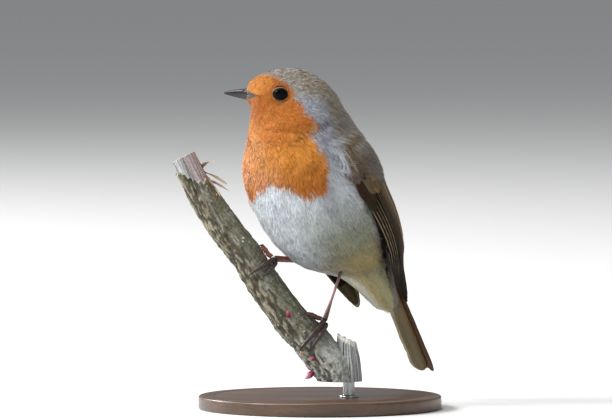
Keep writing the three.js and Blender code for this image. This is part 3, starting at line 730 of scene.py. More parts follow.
def body_coat(name, start, end, count, barbs, seed):
    """Tufts rooted between two section numbers, spread evenly through the ring's girth and
    closer where feathers are shorter. They fan out over the wing's lower edge and front.
    Their tone varies by tuft and barb, and over the body by painted light and shade: a painted
    highlight on the head's olive, painted shade in the crease, and a pale point behind the bib's rear
    corner."""
    sections = np.linspace(start, end, 200)
    girth = np.linalg.norm(through(BODY_ROWS, sections)[:, 5:7], axis=1)
    pace = np.linalg.norm(np.gradient(body(sections, np.pi / 2 + 0 * sections), axis=0), axis=1)
    finer = 1 / lengths(sections, 0 * sections) ** 1.2
    share = np.cumsum(girth * pace * finer)
    along, around = even_spread(count)
    u = np.interp(along, share / share[-1], sections)
    v = around * 2 * np.pi - np.pi
    keep = ~under_wing(u, v, 4)
    u, v = u[keep], v[keep]
    draw = np.random.default_rng(seed + 100)
    ragged = 0.15 + 0.25 * soft(u - 17.0)
    length = lengths(u, v) * draw.uniform(1 - ragged, 1 + ragged, len(u))
    width = length * np.interp(u, [14.5, 17.5], [0.52, 0.28])
    deep = read_off(COAT_DEPTH, u)
    degrees = np.degrees(np.abs(v))
    brim = np.interp(u, LOWER_PLACE, LOWER_DEGREES) - degrees
    over_brim = bell((brim, 6, 8)) * step(u, 8.9, 0.6) * step(u, 10.9, -0.6)
    over_front = step(u, 8.35, 0.5) * step(u, 9.6, -0.3) * step(degrees, 82, 14)
    over_front = over_front * step(degrees, 126, -20)
    tip = TIPS_SINK * deep * draw.uniform(0.0, 1.0, len(u)) ** 1.5
    tip = tip + BRIM_LIFT * over_brim + FRONT_LIFT * over_front
    turn = np.sign(v) * BRIM_TURN * over_brim
    length = length * (1 + FRONT_LONGER * over_front)
    flat, faces, e, s, seen_u, seen_v, draw = tufts(
        plumage, u, v, length, width, ROOTS_SINK * deep, tip, turn, barbs, seed)
    seen_u = seen_u + draw.normal(0, 0.10, (len(u), 1))
    seen_v = seen_v + draw.normal(0, 0.035, (len(u), 1))
    marks = markings(seen_u, seen_v)
    gape = marks.pop("gape")
    values = {k: np.repeat(m.ravel(), BARB_POINTS) for k, m in marks.items()}
    dark = 1 - np.maximum.reduce([marks[k] for k in ("bib", "slate", "white", "buff")])
    # the olive of the head: its tufts vary more in tone and carry a painted highlight
    crown = dark * (1 - gape) * step(u, 7.0, -3.0)[:, None]
    by = {"place": u, "degrees": degrees, "turn": degrees_round(v)}
    # painted light and shade over the body, from the table above
    body_light_and_shade = sum(faded(strength, *((by[key], at, over) for key, at, over in steps))
                    for strength, *steps in PAINTED_LIGHT_AND_SHADE.values())
    tone = draw.normal(0, TUFTS_VARY, (len(u), 1)) * (1 + dark + crown)
    tone = tone + CROWN_HIGHLIGHT * crown + BACK_PALE * dark - GAPE_DARK * gape
    tone = tone + body_light_and_shade[:, None] + dark * (0.5 - np.abs(np.linspace(-1, 1, barbs))) * SIDE_BARBS_DARK
    tone = tone + draw.normal(0, BARBS_VARY, (len(u), barbs)) * (1 + dark)
    seen = np.degrees(np.abs(seen_v))
    # painted shade in the crease under the head's overhanging feathers
    crease = bell((seen_u, 7.82, 0.10)) * step(seen, 58, 12) * step(seen, 106, -12)
    point = bell((seen_u - 8.05 - 0.05 * (seen - 68), 0, 0.22), (seen, 75, 8))
    tone = tone - CREASE_SHADE * crease + PALE_POINT * point * (1 - marks["bib"])
    values["tone"] = np.repeat(tone.ravel(), BARB_POINTS)
    values["reach"] = s
    patch = unwrapped((v + np.pi) / (2 * np.pi), (u - start) / (end - start) * 0.99 + 0.005, e, s)
    piece(name, part_at_eyes(flat), faces, PLUMAGE, (), values, patch)


skin()
COATS = [  # name, slot, first and last section number, tufts, barbs in each
    ("coat_face", "plumage_head", 0.05, 4.2, 5200, 7),
    ("coat_cheeks", "plumage_head", 4.2, 6.6, 4400, 8),
    ("coat_neck", "plumage_head", 6.6, 8.4, 3800, 9),
    ("coat_breast", "plumage_body", 8.4, 10.2, 3800, 10),
    ("coat_belly", "plumage_body", 10.2, 12.6, 4400, 10),
    ("coat_flanks", "plumage_body", 12.6, 15.2, 3600, 10),
    ("coat_vent", "plumage_body", 15.2, 18.5, 2600, 10),
]
for number, (name, slot, start, end, count, barbs) in enumerate(COATS):
    body_coat(name, start, end, count, barbs, 10 + number)


# ---------------------------------------------------------------- eyes
HOOP_WIDE, HOOP_HIGH = 0.17, 0.15
RING_OUT, BEAD, BEADS = 0.24, 0.25, 24  # the eye ring lies this far outside the lids
RAW_RED = srgb(130, 68, 52)


def horn_material(name, dark, pale, value, reach, roughness, red=None):
    """Bare horn or skin: dark to pale along a named value's reach, mottled, with a fine bump;
    red along another value, where one is named."""
    made, tree, bsdf = material(name, Roughness=roughness)
    mottle = graded(tree, speckle(tree, 1500.0, 3.0), *NOISE)
    colour = mix(tree, graded(tree, value_of(tree, value), *reach), dark, pale)
    if red:
        colour = mix(tree, value_of(tree, red), colour, RAW_RED)
    colour = mix(tree, graded(tree, mottle, 0, 1, 0.25, 0.0), colour, dark, "MULTIPLY")
    painted(tree, bsdf, colour, mottle, 0.25, 0.0001)
    return made


def eye_material():
    """Black pupil in a deep brown iris, by the angle from the eye's axis, under a wet coat."""
    made, tree, bsdf = material("wet eye", Roughness=0.18, Coat_Weight=0.04, Coat_Roughness=0.04,
                                Specular_IOR_Level=0.04)
    iris = graded(tree, value_of(tree, "outward"), 0.55, 0.62)
    fleck = graded(tree, speckle(tree, 2500.0), *NOISE_CORE)
    brown = mix(tree, fleck, srgb(20, 13, 9), srgb(30, 19, 13))
    painted(tree, bsdf, mix(tree, iris, srgb(5, 5, 6), brown))
    return made


def eye(which, paint):
    """A ball as rings round its outward axis."""
    centre, way = EYES[which]
    polar = np.linspace(0.04, np.pi - 0.04, 40)[:, None]
    x, z = np.sin(polar) * np.cos(circle(48)), np.sin(polar) * np.sin(circle(48))
    ring = np.stack([x, way * np.cos(polar) * np.ones_like(x), z], -1)
    outward = np.sin(polar) + 2 * (polar > 1.57)
    loft("eyeball_" + which, centre + EYE_RADIUS * ring, paint, "eye", ("eye_" + which,), outward=outward)


def hoop(path, wide, high, out, sides=12):
    """Rings round a closed path: wide along the surface, high along the outward direction."""
    ahead = unit(np.roll(path, -1, 0) - np.roll(path, 1, 0))
    over = unit(np.cross(ahead, out))
    up = np.cross(over, ahead)
    angle = circle(sides)
    col = lambda x: np.broadcast_to(x, (len(path),))[:, None, None]
    ring = (path[:, None] + col(wide) * np.cos(angle)[None, :, None] * over[:, None]
            + col(high) * np.sin(angle)[None, :, None] * up[:, None])
    rows = len(path)
    index = np.arange(rows * sides).reshape(rows, sides)
    right, below = np.roll(index, -1, 1), np.roll(index, -1, 0)
    faces = np.stack([index, right, np.roll(right, -1, 0), below], -1).reshape(-1, 4)
    points = ring.reshape(-1, 3)
    return points, [faces if signed_volume(points, [faces]) > 0 else faces[:, ::-1]]


def lids(which, rim_paint, ring_paint):
    """Two hoops on the ball, an ellipse of angles from its axis: the dark margin of the lids,
    and round it the pale feathered eye ring, beaded by a ripple."""
    centre, way = EYES[which]
    around = circle(96)
    hoops = (("lid_", rim_paint, 0.0, 0.0), ("eye_ring_", ring_paint, RING_OUT, BEAD))
    for name, paint, grow, bead in hoops:
        x, z = (LID[0] + grow) * np.cos(around), (LID[1] + grow) * np.sin(around)
        r = np.hypot(x, z) / EYE_RADIUS
        depth = np.sqrt(np.maximum(1 - r * r, 0.12))
        out = unit(np.stack([x / EYE_RADIUS, way * depth, z / EYE_RADIUS], -1))
        ripple = 1 + bead * np.cos(BEADS * around)
        path = centre + (EYE_RADIUS + 0.02) * out
        points, faces = hoop(path, HOOP_WIDE * ripple, HOOP_HIGH * ripple, out)
        piece(name + which, points, faces, paint)


def plain_material(name, colour, other, scale, roughness):
    """Two close colours mixed by noise, and a bump from the same noise."""
    made, tree, bsdf = material(name, Roughness=roughness)
    noise = speckle(tree, scale, 4.0)
    painted(tree, bsdf, mix(tree, graded(tree, noise, *NOISE), colour, other), noise, 0.2, 0.0003)
    return made


EYE_PAINT = eye_material()
LID_PAINT = plain_material("lid skin", srgb(44, 34, 30), srgb(66, 50, 42), 3000.0, 0.5)
RING_PAINT = plain_material("eye ring feather", srgb(150, 84, 38), srgb(200, 146, 92), 900.0, 0.8)
for which in EYES:
    eye(which, EYE_PAINT)
    lids(which, LID_PAINT, RING_PAINT)

# ---------------------------------------------------------------- bill
BILL_SECTIONS = np.array([  # x, culmen, keel, half width
    [-21.6, 119.2, 114.0, 2.5], [-24.8, 118.9, 114.4, 2.3], [-27.2, 118.8, 114.6, 2.1],
    [-29.5, 118.6, 115.1, 1.65], [-31.8, 118.3, 115.7, 1.15], [-33.8, 117.9, 116.3, 0.7],
    [-35.3, 117.5, 116.8, 0.28]])
NOSTRIL = (-27.9, 117.95)


def gape_height(x):
    """The bill's closing line: level at the tip, sinking a little towards the gape."""
    return 117.02 - 0.05 * np.clip((x + 30) / 4, 0, 3) ** 2


def bill(upper, paint):
    """One mandible: an arch over the closing line at each place along the bill, closed by a
    flat face; the upper one keeps a ridged culmen and a nostril pressed into each side."""
    rows = through(BILL_SECTIONS, np.linspace(0, len(BILL_SECTIONS) - 1, 90))
    x, top, keel, side = (column[:, None] for column in rows.T)
    rim = gape_height(x) + (0.0 if upper else 0.07)
    far, side = (top, side) if upper else (keel, side * 0.94)
    angle = np.linspace(0, np.pi, 37)[None]
    y = side * np.cos(angle)
    rise = np.sin(angle) ** (0.85 if upper else 0.95)
    z = rim + (far - rim) * rise
    hollow = bell((x, NOSTRIL[0], 0.55), (z, NOSTRIL[1], 0.22)) * upper
    y = y * (1 - 0.22 * hollow)
    floor = np.linspace(-0.9, 0.9, 7)[None]
    y = np.concatenate([y, side * floor], 1)
    z = np.concatenate([z, rim + 0 * floor * x], 1)
    rings = np.stack([np.broadcast_to(x, y.shape), HEAD_PLANE_Y + y, z], -1)
    hollow = np.concatenate([hollow, np.zeros((len(x), floor.size))], 1)
    base = (x - BILL_SECTIONS[-1, 0]) / (BILL_SECTIONS[0, 0] - BILL_SECTIONS[-1, 0])
    name = "upper" if upper else "lower"
    loft("mandible_" + name, rings, paint, "horn", ("bill_" + name,), base=base, hollow=hollow)


def bill_material(name, tip, base):
    """Dark horn, paler towards the base, with lengthwise streaks and a black nostril."""
    made, tree, bsdf = material(name, Roughness=0.32, Coat_Weight=0.2, Coat_Roughness=0.3)
    streak = speckle(tree, 1400.0, 3.0, (0.25, 1, 1))
    colour = mix(tree, graded(tree, value_of(tree, "base"), 0.25, 0.95), tip, base)
    colour = mix(tree, graded(tree, streak, *NOISE, 0.35, 0.0), colour, tip, "MULTIPLY")
    colour = mix(tree, value_of(tree, "hollow"), colour, srgb(14, 12, 12))
    painted(tree, bsdf, colour, streak, 0.2, 0.0001)
    return made


bill(True, bill_material("upper bill horn", srgb(40, 38, 44), srgb(52, 49, 54)))
bill(False, bill_material("lower bill horn", srgb(36, 32, 36), srgb(98, 82, 80)))


def gape_corner(way, paint):
    """The gape's bare corner: a tapered cord on the face from the bill's edge backwards."""
    f = np.linspace(0, 1, 24)
    path = body(1.0 + 2.5 * f, -way * np.radians(88 - 6 * f), -0.10 + 0 * f)
    rings = tube(path, 0.30 * (1 - 0.75 * f), 10, (0, 0, 1), 0.6)
    loft("gape_" + ("left" if way < 0 else "right"), rings, paint, "horn")


GAPE_PAINT = plain_material("gape skin", srgb(70, 48, 36), srgb(96, 62, 44), 2600.0, 0.5)
for way in (-1, 1):
    gape_corner(way, GAPE_PAINT)


def bristles():
    """Short stiff bristles in front of the gape: tapered three-sided rods that curve
    forwards and down."""
    draw = np.random.default_rng(5)
    count, f = 16, np.linspace(0, 1, 7)
    way = np.where(np.arange(count) % 2, 1.0, -1.0)
    root = body(draw.uniform(0.7, 2.6, count), -way * np.radians(draw.uniform(66, 98, count)), -0.2)
    length = draw.uniform(2.2, 3.6, count)
    drop = draw.uniform(0.2, 0.8, count)
    reach = np.stack([-length, way * 0.35 * length, -drop * length * 0.4], -1)
    sag = np.stack([0 * drop, -0.15 * way * length, -0.35 * drop * length], -1)
    path = root[:, None] + reach[:, None] * f[:, None] + sag[:, None] * (f * f)[:, None]
    rings = np.stack([tube(p, 0.05 * (1 - 0.8 * f), 3, (0, 0, 1)) for p in path])
    loft("rictal_bristles", rings, LID_PAINT, "horn")


bristles()


# ---------------------------------------------------------------- quills
VANE_Y = np.array([-1, -0.88, -0.78, -0.45, -0.07, 0, 0.07, 0.4, 0.86, 1, 0.5, 0, -0.5])
VANE_H = np.array([0.0, 0.05, 0.06, 0.08, 0.09, 0.19, 0.09, 0.08, 0.05, 0.0, -0.04, -0.07, -0.04])


def vane_grid(count, rows, shaft, blunt, seed, start=0.8):
    """Closed feather sections: x from root to tip, crowded at the tip; y across in half
    widths with the shaft at its own place; the half width grows from a narrow root and
    closes at the tip as a power curve, with small nicks along the edges."""
    draw = np.random.default_rng(seed)
    k = np.linspace(0, 1, rows)
    x = (1 - (1 - k) ** 1.7)[None, :, None]
    shaft = np.asarray(shaft, float)[:, None, None]
    flat = VANE_Y[None, None]
    y = np.where(flat < 0, shaft + (1 + shaft) * flat, shaft + (1 - shaft) * flat)
    y = np.broadcast_to(y, (count, rows, len(VANE_Y)))
    close = np.clip((x - start) / (1 - start), 0, 1)
    blunt = np.asarray(blunt, float)[:, None, None]
    width = (0.55 + 0.45 * soft(x / 0.4 - 0.5)) * (1 - close ** blunt) ** (1 / blunt)
    nick = 1 + 0.03 * draw.normal(0, 1, (count, rows, 1)) * (x > 0.3)
    width = np.maximum(width * nick, 0.02)
    high = np.broadcast_to(VANE_H * (1 - 0.5 * x), y.shape)
    return np.broadcast_to(x, y.shape), y, np.broadcast_to(width, y.shape), high


QUILL_COLUMNS = (  # the places run along and across the wing; half is a feather's half width
    "root_s", "tip_s", "root_w", "tip_w", "half", "level", "tilt", "shaft", "blunt", "kind",
    "patch", "rust")
VANE_VALUES = ("along", "across", "shaft", "kind", "tone", "patch", "rust", "rim")
VANE_CROWN, ROOT_SINKS = 0.22, 1.2
FAR_SHORTER, LONGEST = 0.012, 0.985  # of the primaries, in shares of the wing


def wing_quills(name, side, table, paint, seed):
    """Feathers on a wing's surface, one to a row of the table. Level is a feather's height
    over the wing, tilt raises its lower edge over the feather below it, as shingles lie,
    and patch is its buff tip. The far wing's longest feathers get a pale rim."""
    columns = dict(zip(QUILL_COLUMNS, table.T))
    x, y, width, high = vane_grid(len(table), 24, columns["shaft"], columns["blunt"], seed)
    col = lambda k: columns[k][:, None, None]
    s = col("root_s") + (col("tip_s") - col("root_s")) * x
    w = col("root_w") + (col("tip_w") - col("root_w")) * x
    chord = np.linalg.norm(wing_flat(s[..., :1], 0, 1) - wing_flat(s[..., :1], 1, 1), axis=-1)
    w = w + y * width * col("half") / np.maximum(chord, 2.2)
    level = col("level") - col("tilt") * y * width - VANE_CROWN * y * y * width + high
    level = level - ROOT_SINKS * (1 - x) ** 8
    tone = np.random.default_rng(seed + 1).normal(0, 0.05, (len(table), 1, 1))
    longest = (col("tip_s") + FAR_SHORTER * (side < 0) > LONGEST) & (side < 0)
    rim = np.maximum(step(np.abs(y), 0.82, 0.08), step(x, 0.97, 0.015)) * longest
    given = {k: col(k) for k in ("kind", "patch", "shaft", "rust")}
    loft(name, wing(s, w, level, side), paint, "plumage_flight", along=x, across=y, tone=tone,
         rim=rim * step(x, 0.6, 0.2), **given)


def quill_rows(count, **columns):
    """Rows of a table for feathers side by side: a column is one number or one for each."""
    return np.stack([np.broadcast_to(columns.get(k, 0.0), count) for k in QUILL_COLUMNS], 1)


def flight_table(far):
    """Primaries, the outermost lowest, then secondaries and tertials: the open edges lie side
    by side down the wing, and the far wing's are rounder and paler, greyer as undersides are
    and lighter still as painted light in the belly's shadow."""
    i, j, k = np.arange(8), np.arange(7), np.arange(3)
    ends = np.array([0.90, 0.94, 0.97, 0.99, 1.0, 0.985, 0.96, 0.93])
    return np.concatenate([
        # the far wing's primaries are paler by kind: greyer as undersides are, and lighter still as painted
        # light in the belly's shadow
        quill_rows(8, root_s=0.14, tip_s=ends - FAR_SHORTER * far, root_w=0.08 + 0.055 * i,
                   tip_w=0.26 + 0.075 * i, half=2.2 + 0.5 * far, level=-0.38 + 0.075 * i, tilt=0.26,
                   shaft=-0.45, blunt=1.7 + far, kind=0.56 * far),
        quill_rows(7, root_s=0.08, tip_s=0.68 - 0.012 * j, root_w=0.33 + 0.040 * j,
                   tip_w=0.46 + 0.045 * j, half=2.3, level=0.20 + 0.04 * j, tilt=0.32,
                   shaft=-0.30, blunt=2.2, kind=0.10 + 0.05 * j),
        quill_rows(3, root_s=0.08, tip_s=(0.61, 0.56, 0.49), root_w=0.60 + 0.12 * k,
                   tip_w=0.70 + 0.13 * k, half=2.7, level=0.50 + 0.12 * k, tilt=0.30,
                   shaft=-0.1, blunt=2.4, kind=0.70 + 0.04 * k, rust=0.32)])


def covert_table():
    """Primary coverts, the alula, greater and median coverts."""
    i, j, k = np.arange(4), np.arange(9), np.arange(8)
    greater, median = j / 8, k / 7
    return np.concatenate([
        quill_rows(4, root_s=0.05, tip_s=0.34 - 0.025 * i, root_w=0.06 + 0.045 * i,
                   tip_w=0.08 + 0.05 * i, half=1.4, level=0.25 + 0.03 * i, tilt=0.22,
                   shaft=-0.3, blunt=2.0, kind=0.22),
        quill_rows(1, root_s=0.05, tip_s=0.28, root_w=0.02, tip_w=0.03, half=1.3, level=0.45, tilt=0.2,
                   shaft=-0.3, blunt=1.9, kind=0.1, rust=0.1),
        quill_rows(9, root_s=0.02, tip_s=0.262 - 0.006 * abs(j - 1), root_w=0.19 + 0.75 * greater,
                   tip_w=0.21 + 0.73 * greater, half=2.0, level=0.50 + 0.02 * j, tilt=0.26,
                   shaft=-0.15, blunt=2.3, kind=0.57, patch=0.3 * (j == 1), rust=0.12),
        quill_rows(8, tip_s=0.215 - 0.006 * abs(k - 3), root_w=0.21 + 0.68 * median,
                   tip_w=0.23 + 0.66 * median, half=1.9, level=0.66 + 0.02 * k, tilt=0.22,
                   blunt=2.4, kind=0.6, patch=0.6 * ((k >= 1) & (k <= 3)), rust=0.1)])


QUILL_DARK, QUILL_BROWN, QUILL_PALE = srgb(24, 19, 13), srgb(60, 47, 33), srgb(133, 120, 95)
QUILL_RUST, QUILL_SHAFT = srgb(108, 66, 40), srgb(40, 32, 28)
EDGE_BROWN, EDGE_PALE, EDGE_RUSTY = srgb(150, 131, 103), srgb(184, 171, 142), srgb(156, 120, 86)
TIP_BUFF, RIM_PALE = srgb(170, 120, 72), srgb(186, 176, 156)


def quill_material():
    """Flight feathers: dark to light brown by kind, a pale edge on the open side, a dark
    shaft, fine oblique barbs, a buff tip on some coverts and a pale rim where one is given.
    Over a kind of 0.8, as on half of the tail, the edge is pale on one side, rusty on the
    other."""
    made, tree, bsdf = material("quill vanes", Roughness=0.6, Specular_IOR_Level=0.06)
    along, across, shaft = (value_of(tree, k) for k in ("along", "across", "shaft"))
    kind, tone = value_of(tree, "kind"), value_of(tree, "tone")
    colour = mix(tree, graded(tree, kind, 0.0, 0.4), QUILL_DARK, QUILL_BROWN)
    colour = laid(tree, colour, (graded(tree, kind, 0.4, 0.9), QUILL_PALE),
                  (value_of(tree, "rust"), QUILL_RUST))
    from_shaft = maths(tree, "ABSOLUTE", maths(tree, "SUBTRACT", across, shaft))
    slope = summed(tree, maths(tree, "MULTIPLY", along, 130.0),
                   maths(tree, "MULTIPLY", from_shaft, -22.0))
    barbs = maths(tree, "SINE", slope)
    far_end = maths(tree, "MULTIPLY", graded(tree, along, 0.5, 1.0),
                    graded(tree, kind, 0.7, 0.9, 0.0, -0.2))
    shade = summed(tree, graded(tree, barbs, -1.0, 1.0, 0.93, 1.05), tone,
                   graded(tree, speckle(tree, 700.0, 3.0), *NOISE, -0.08, 0.08), far_end)
    outer = summed(tree, across, graded(tree, kind, 0.5, 0.8, 0.0, -0.10))
    inner = summed(tree, across, graded(tree, kind, 0.8, 0.9, 0.0, 0.12))
    edge = maths(tree, "MAXIMUM", graded(tree, outer, -0.80, -0.90),
                 graded(tree, inner, 0.72, 0.80, 0, 0.9))
    edge = maths(tree, "MULTIPLY", edge, graded(tree, along, 0.1, 0.3))
    clear = maths(tree, "MULTIPLY", graded(tree, along, 0.72, 0.5, 0.08, 1.0),
                  graded(tree, tone, -0.05, 0.05, 0.3, 1.0))
    clear = maths(tree, "MAXIMUM", clear, graded(tree, kind, 0.6, 0.75))
    tail_edge = mix(tree, graded(tree, across, -0.5, 0.5), EDGE_PALE, EDGE_RUSTY)
    fringe = mix(tree, graded(tree, kind, 0.8, 0.9), EDGE_BROWN, tail_edge)
    tip = maths(tree, "MULTIPLY", value_of(tree, "patch"), graded(tree, along, 0.86, 0.93))
    line = maths(tree, "MULTIPLY", graded(tree, from_shaft, 0.10, 0.05),
                 graded(tree, kind, 0.7, 0.9, 0.6, 0.15))
    colour = laid(tree, colour, (maths(tree, "MULTIPLY", edge, clear), fringe), (tip, TIP_BUFF),
                  (maths(tree, "MULTIPLY", value_of(tree, "rim"), 0.8), RIM_PALE), (line, QUILL_SHAFT))
    painted(tree, bsdf, shaded(tree, colour, shade), barbs, 0.35, 0.0001)
    return made


def wing_core(side, name, paint):
    """The wing's flesh: the surface sunk a little outside and by the wing's thickness
    inside, from the shoulder to where only quills go on."""
    s = np.linspace(0.01, 0.8, 40)[:, None]
    w = np.linspace(0.05, 0.95, 15)[None]
    s, w = np.broadcast_arrays(s, w)
    edge = 0.45 + 0.55 * np.sin(np.pi * w)
    thick = WING_THICK + (WING_TIP_THICK - WING_THICK) * np.clip(s * 1.15, 0, 1)
    outer = wing(s, w, -0.45 - 0 * s, side)
    inner = wing(s, w, -np.maximum(thick * edge, 0.7), side)[:, ::-1]
    rings = np.concatenate([outer, inner], 1)
    plain = dict.fromkeys(VANE_VALUES, 0.0)
    loft("wing_flesh_" + name, rings, paint, "plumage_flight", ("wing_" + name,), **plain)


QUILL_PAINT = quill_material()
for name, side in (("left", 1), ("right", -1)):
    wing_core(side, name, QUILL_PAINT)
    wing_quills("flight_feathers_" + name, side, flight_table(side < 0), QUILL_PAINT, 31)
    wing_quills("wing_coverts_" + name, side, covert_table(), QUILL_PAINT, 33)


SHOULDER_BARBS = 9


def shoulder_coat(name, side, count, seed):
    """Scapulars and lesser coverts: tufts over the wing's upper third. Along its front they
    are slate, then rusty brown with a pale line, and a band of painted shadow parts them from the rest."""
    along, around = even_spread(count)
    u = 0.20 * along
    v = -0.05 + 1.15 * around
    keep = u < 0.13 + faded(0.055, (v, 0.35, 0.3))
    u, v = u[keep], v[keep]
    draw = np.random.default_rng(seed)
    length = draw.uniform(3.4, 5.0, len(u))
    surface = lambda a, b, h: wing(a, b, h, side)
    flat, faces, e, s, seen_u, seen_v, draw = tufts(
        surface, u, v, length, length * 0.6, -0.3, draw.uniform(1.0, 1.7, len(u)), 0.0,
        SHOULDER_BARBS, seed)
    low = step(seen_v, 0.0, -0.08) * step(seen_u, 0.12, -0.05)
    front = soft((0.13 + 0.9 * seen_u - seen_v) / 0.08) * (1 - low)
    line = bell((seen_v - 0.03 - 0.45 * seen_u, 0, 0.017)) * step(seen_u, 0.13, -0.03)
    # painted shadow along the band that parts the front tufts from the rest
    gap = bell((seen_u, 0.175, 0.035), (seen_v - 0.02 - 0.75 * seen_u, 0, 0.05))
    tone = draw.normal(0, 0.12, (len(u), 1)) + draw.normal(0, 0.12, (len(u), SHOULDER_BARBS))
    tone = tone - 0.17 * (1 - low) - 0.12 * front + 0.55 * line - 0.6 * gap
    each = lambda x: np.repeat(np.broadcast_to(x, seen_u.shape).ravel(), BARB_POINTS)
    values = {"bib": each(0.16 * front * (1 - line)), "deep": each(1.0), "slate": each(low),
              "white": each(0.35 * low), "buff": each(0.5 * line), "tone": each(tone), "reach": s}
    patch = unwrapped((v + 0.2) / 1.5, (u / 0.21) * 0.98 + 0.01, e, s)
    piece(name, flat, faces, PLUMAGE, (), values, patch)


shoulder_coat("scapulars_left", 1, 900, 51)
shoulder_coat("scapulars_right", -1, 900, 52)

# ---------------------------------------------------------------- tail
TAIL_ROOT, TAIL_TIP = (-27.0, 19.6), (-86.8, 26.35)
TAIL_PAIRS, RECTRIX_HALF, RECTRIX_LIFT = 6, 2.8, 0.3
TAIL_SPREAD, TAIL_NOTCH = 0.55, 0.10


def tail(paint):
    """Twelve tail feathers: each a straight vane from root to tip, each pair below and
    outside the pair within, sagging as the square of its distance from the middle."""
    pair = np.repeat(np.arange(TAIL_PAIRS), 2)
    way = np.tile([-1.0, 1.0], TAIL_PAIRS)
    shaft = np.where(pair == 0, 0.0, 0.35) * way
    x, y, width, high = vane_grid(2 * TAIL_PAIRS, 30, shaft, 1.9 + 0 * way, 61, 0.92)
    col = lambda v: v[:, None, None]
    broad = 1.0 * ((pair == TAIL_PAIRS - 1) & (way < 0))  # it lies over its fellow's inner edge
    reach = x * (1 + col(pair * TAIL_NOTCH) / 58)
    along = TAIL_ROOT[0] + (TAIL_TIP[0] - TAIL_ROOT[0]) * reach
    back = TAIL_ROOT[1] + (TAIL_TIP[1] - TAIL_ROOT[1]) * reach
    back = back - col(pair * RECTRIX_LIFT + 0.25 * broad)
    middle = col(way * (0.4 + pair * TAIL_SPREAD) + broad) * (0.45 + 0.55 * x)
    across = middle + y * width * (RECTRIX_HALF + col(broad))
    back = back - 0.035 * across ** 2 + high - 0.12 * y * y
    tone = np.random.default_rng(62).normal(0, 0.05, (2 * TAIL_PAIRS, 1, 1))
    near = col(0.5 + 0.5 * way)
    loft("tail_feathers", in_trunk(along, back, across), paint, "plumage_flight", ("tail",), along=x,
         across=-y * col(way), tone=tone, kind=0.9 - 0.4 * near, patch=0.0, shaft=-col(shaft * way),
         rust=0.4 * near)


tail(QUILL_PAINT)

# ---------------------------------------------------------------- perch
STEM = np.array([  # the main stem's axis from its upper end down, with radii
    [-50.5, 1, 93.1, 5.0], [-43.5, 0, 79.7, 5.3], [-35.9, -2.5, 68.1, 5.8],
    [-27.6, -5, 57.5, 5.9], [-20.5, -7, 46.6, 6.2], [-11.1, -9.6, 34.2, 6.4],
    [-2.6, -11.3, 24.8, 6.8], [5.5, -12, 14.5, 6.8], [8.6, -12, 5, 5.6]])
UPRIGHT = np.array([
    [10.6, -12, 5, 5.4], [10.4, -12, 15.5, 5.2], [10.2, -12, 20, 4.6], [9.9, -12, 24, 4.0],
    [9.6, -12, 29.6, 3.4]])
PERCH_FOOT = 11.0
BROKEN_TOP = (0.42, 31.5)  # the upright ends where z is the second less x times the first
BROKEN_CORE = 2.4  # the break is even within this radius and splintered on the right of it
# Below this height pale lichen spreads, painted paler still as painted light against the shade the lower
# stem lies in.
LICHEN_BELOW, LICHEN_FADES = 27, 7
BARE_ABOVE = 85.4  # the stem has lost its bark above this height
KNOTS = ((-9.2, 28.4, 2.3, 2.5), (-47.4, 85.0, 1.3, 1.0))  # x, z, half width, half height
BUDS = (  # height, degrees round, length, rise of the tip, radius
    (34.2, 88, 3.2, 2.0, 1.0), (21.5, 115, 2.2, 0.6, 1.0), (18.5, 168, 3.6, 0.0, 1.45))


CAP_ROWS = 9
STEM_RIGHT = (0.82, 0.57)  # across the main stem, in x and z
BARK_THICK, KNOT_DEEP = 0.42, 0.8


def rough(rows, sides, along, around, seed):
    """A random field on the stem's grid: random numbers averaged twice over a window of the
    given half sizes, round the stem without a seam, scaled to unit spread."""
    field = np.random.default_rng(seed).normal(0, 1, (rows + 4 * along, sides))
    for _ in range(2):
        field = sum(field[k:len(field) - 2 * along + k] for k in range(2 * along + 1))
        field = sum(np.roll(field, k, 1) for k in range(-around, around + 1))
    return field / field.std()


def streaks(angle, run, seed, count=16):
    """Sum of waves with whole numbers of turns round the stem, slow along it."""
    draw = np.random.default_rng(seed)
    total = 0
    for turns in draw.integers(4, 30, count):
        slow, phase = draw.normal(0, 0.22), draw.uniform(0, 2 * np.pi)
        total = total + np.cos(turns * angle + slow * run + phase)
    return total / np.sqrt(count / 2)


def stem_surface(angle, run, bare, left, low, knot, seed):
    """Relief in mm and the paint's values. Bark has swellings, a net of raised veins drawn
    out lengthwise, pits and dots, and on its left flaking crusts with gaps between; bare
    wood has fine lengthwise grooves and lies a little lower."""
    rows, sides = len(run), angle.shape[1]
    field = lambda along, around, number: rough(rows, sides, along, around, seed + number)
    lump, net, thin = field(14, 8, 0), field(11, 3, 1), field(6, 1, 2)
    pit, dot, flake, fine = field(4, 1, 3), field(1, 1, 4), field(5, 1, 5), field(1, 1, 6)
    side = step(left, 0.1, 0.5)
    smooth = step(left, -0.2, -0.5)
    vein = np.maximum(bell((net, 0, 0.22)), 0.7 * bell((thin, 0, 0.35))) * (1 - 0.5 * smooth)
    hollow = step(pit, -0.5, -0.9) * (1 - 0.6 * smooth)
    crust = step(flake, 0.2, 1.0) * side
    gap = step(flake, -0.1, -0.7) * side
    dots = step(dot, 2.6, 0.3) * (1 - 0.4 * side)
    grain = streaks(angle, run, seed + 7) + 0.7 * field(10, 0, 8)
    bark = 0.16 * lump + 0.16 * vein - 0.22 * hollow + 0.3 * crust - 0.2 * gap + 0.14 * dots
    bark = bark + 0.05 * fine + 0.12 * side * field(4, 2, 9) - KNOT_DEEP * knot
    wood = 0.12 * lump - BARK_THICK + 0.08 * grain
    relief = bark + (wood - bark) * bare
    # the knots' hollows are painted dark with the pits' colour, as painted shade
    hollow = np.clip(np.maximum(hollow, gap) + 0.9 * knot, 0, 1)
    values = {"vein": vein * (1 - knot), "hollow": hollow, "crust": crust, "dots": dots,
              "smooth": smooth, "low": low}
    values = {k: v * (1 - bare) for k, v in values.items()}
    values["dots"] = np.maximum(values["dots"], 3.6 * bare * (1 - bare))
    values.update(bare=bare, grain=grain, side=side)
    return relief, values


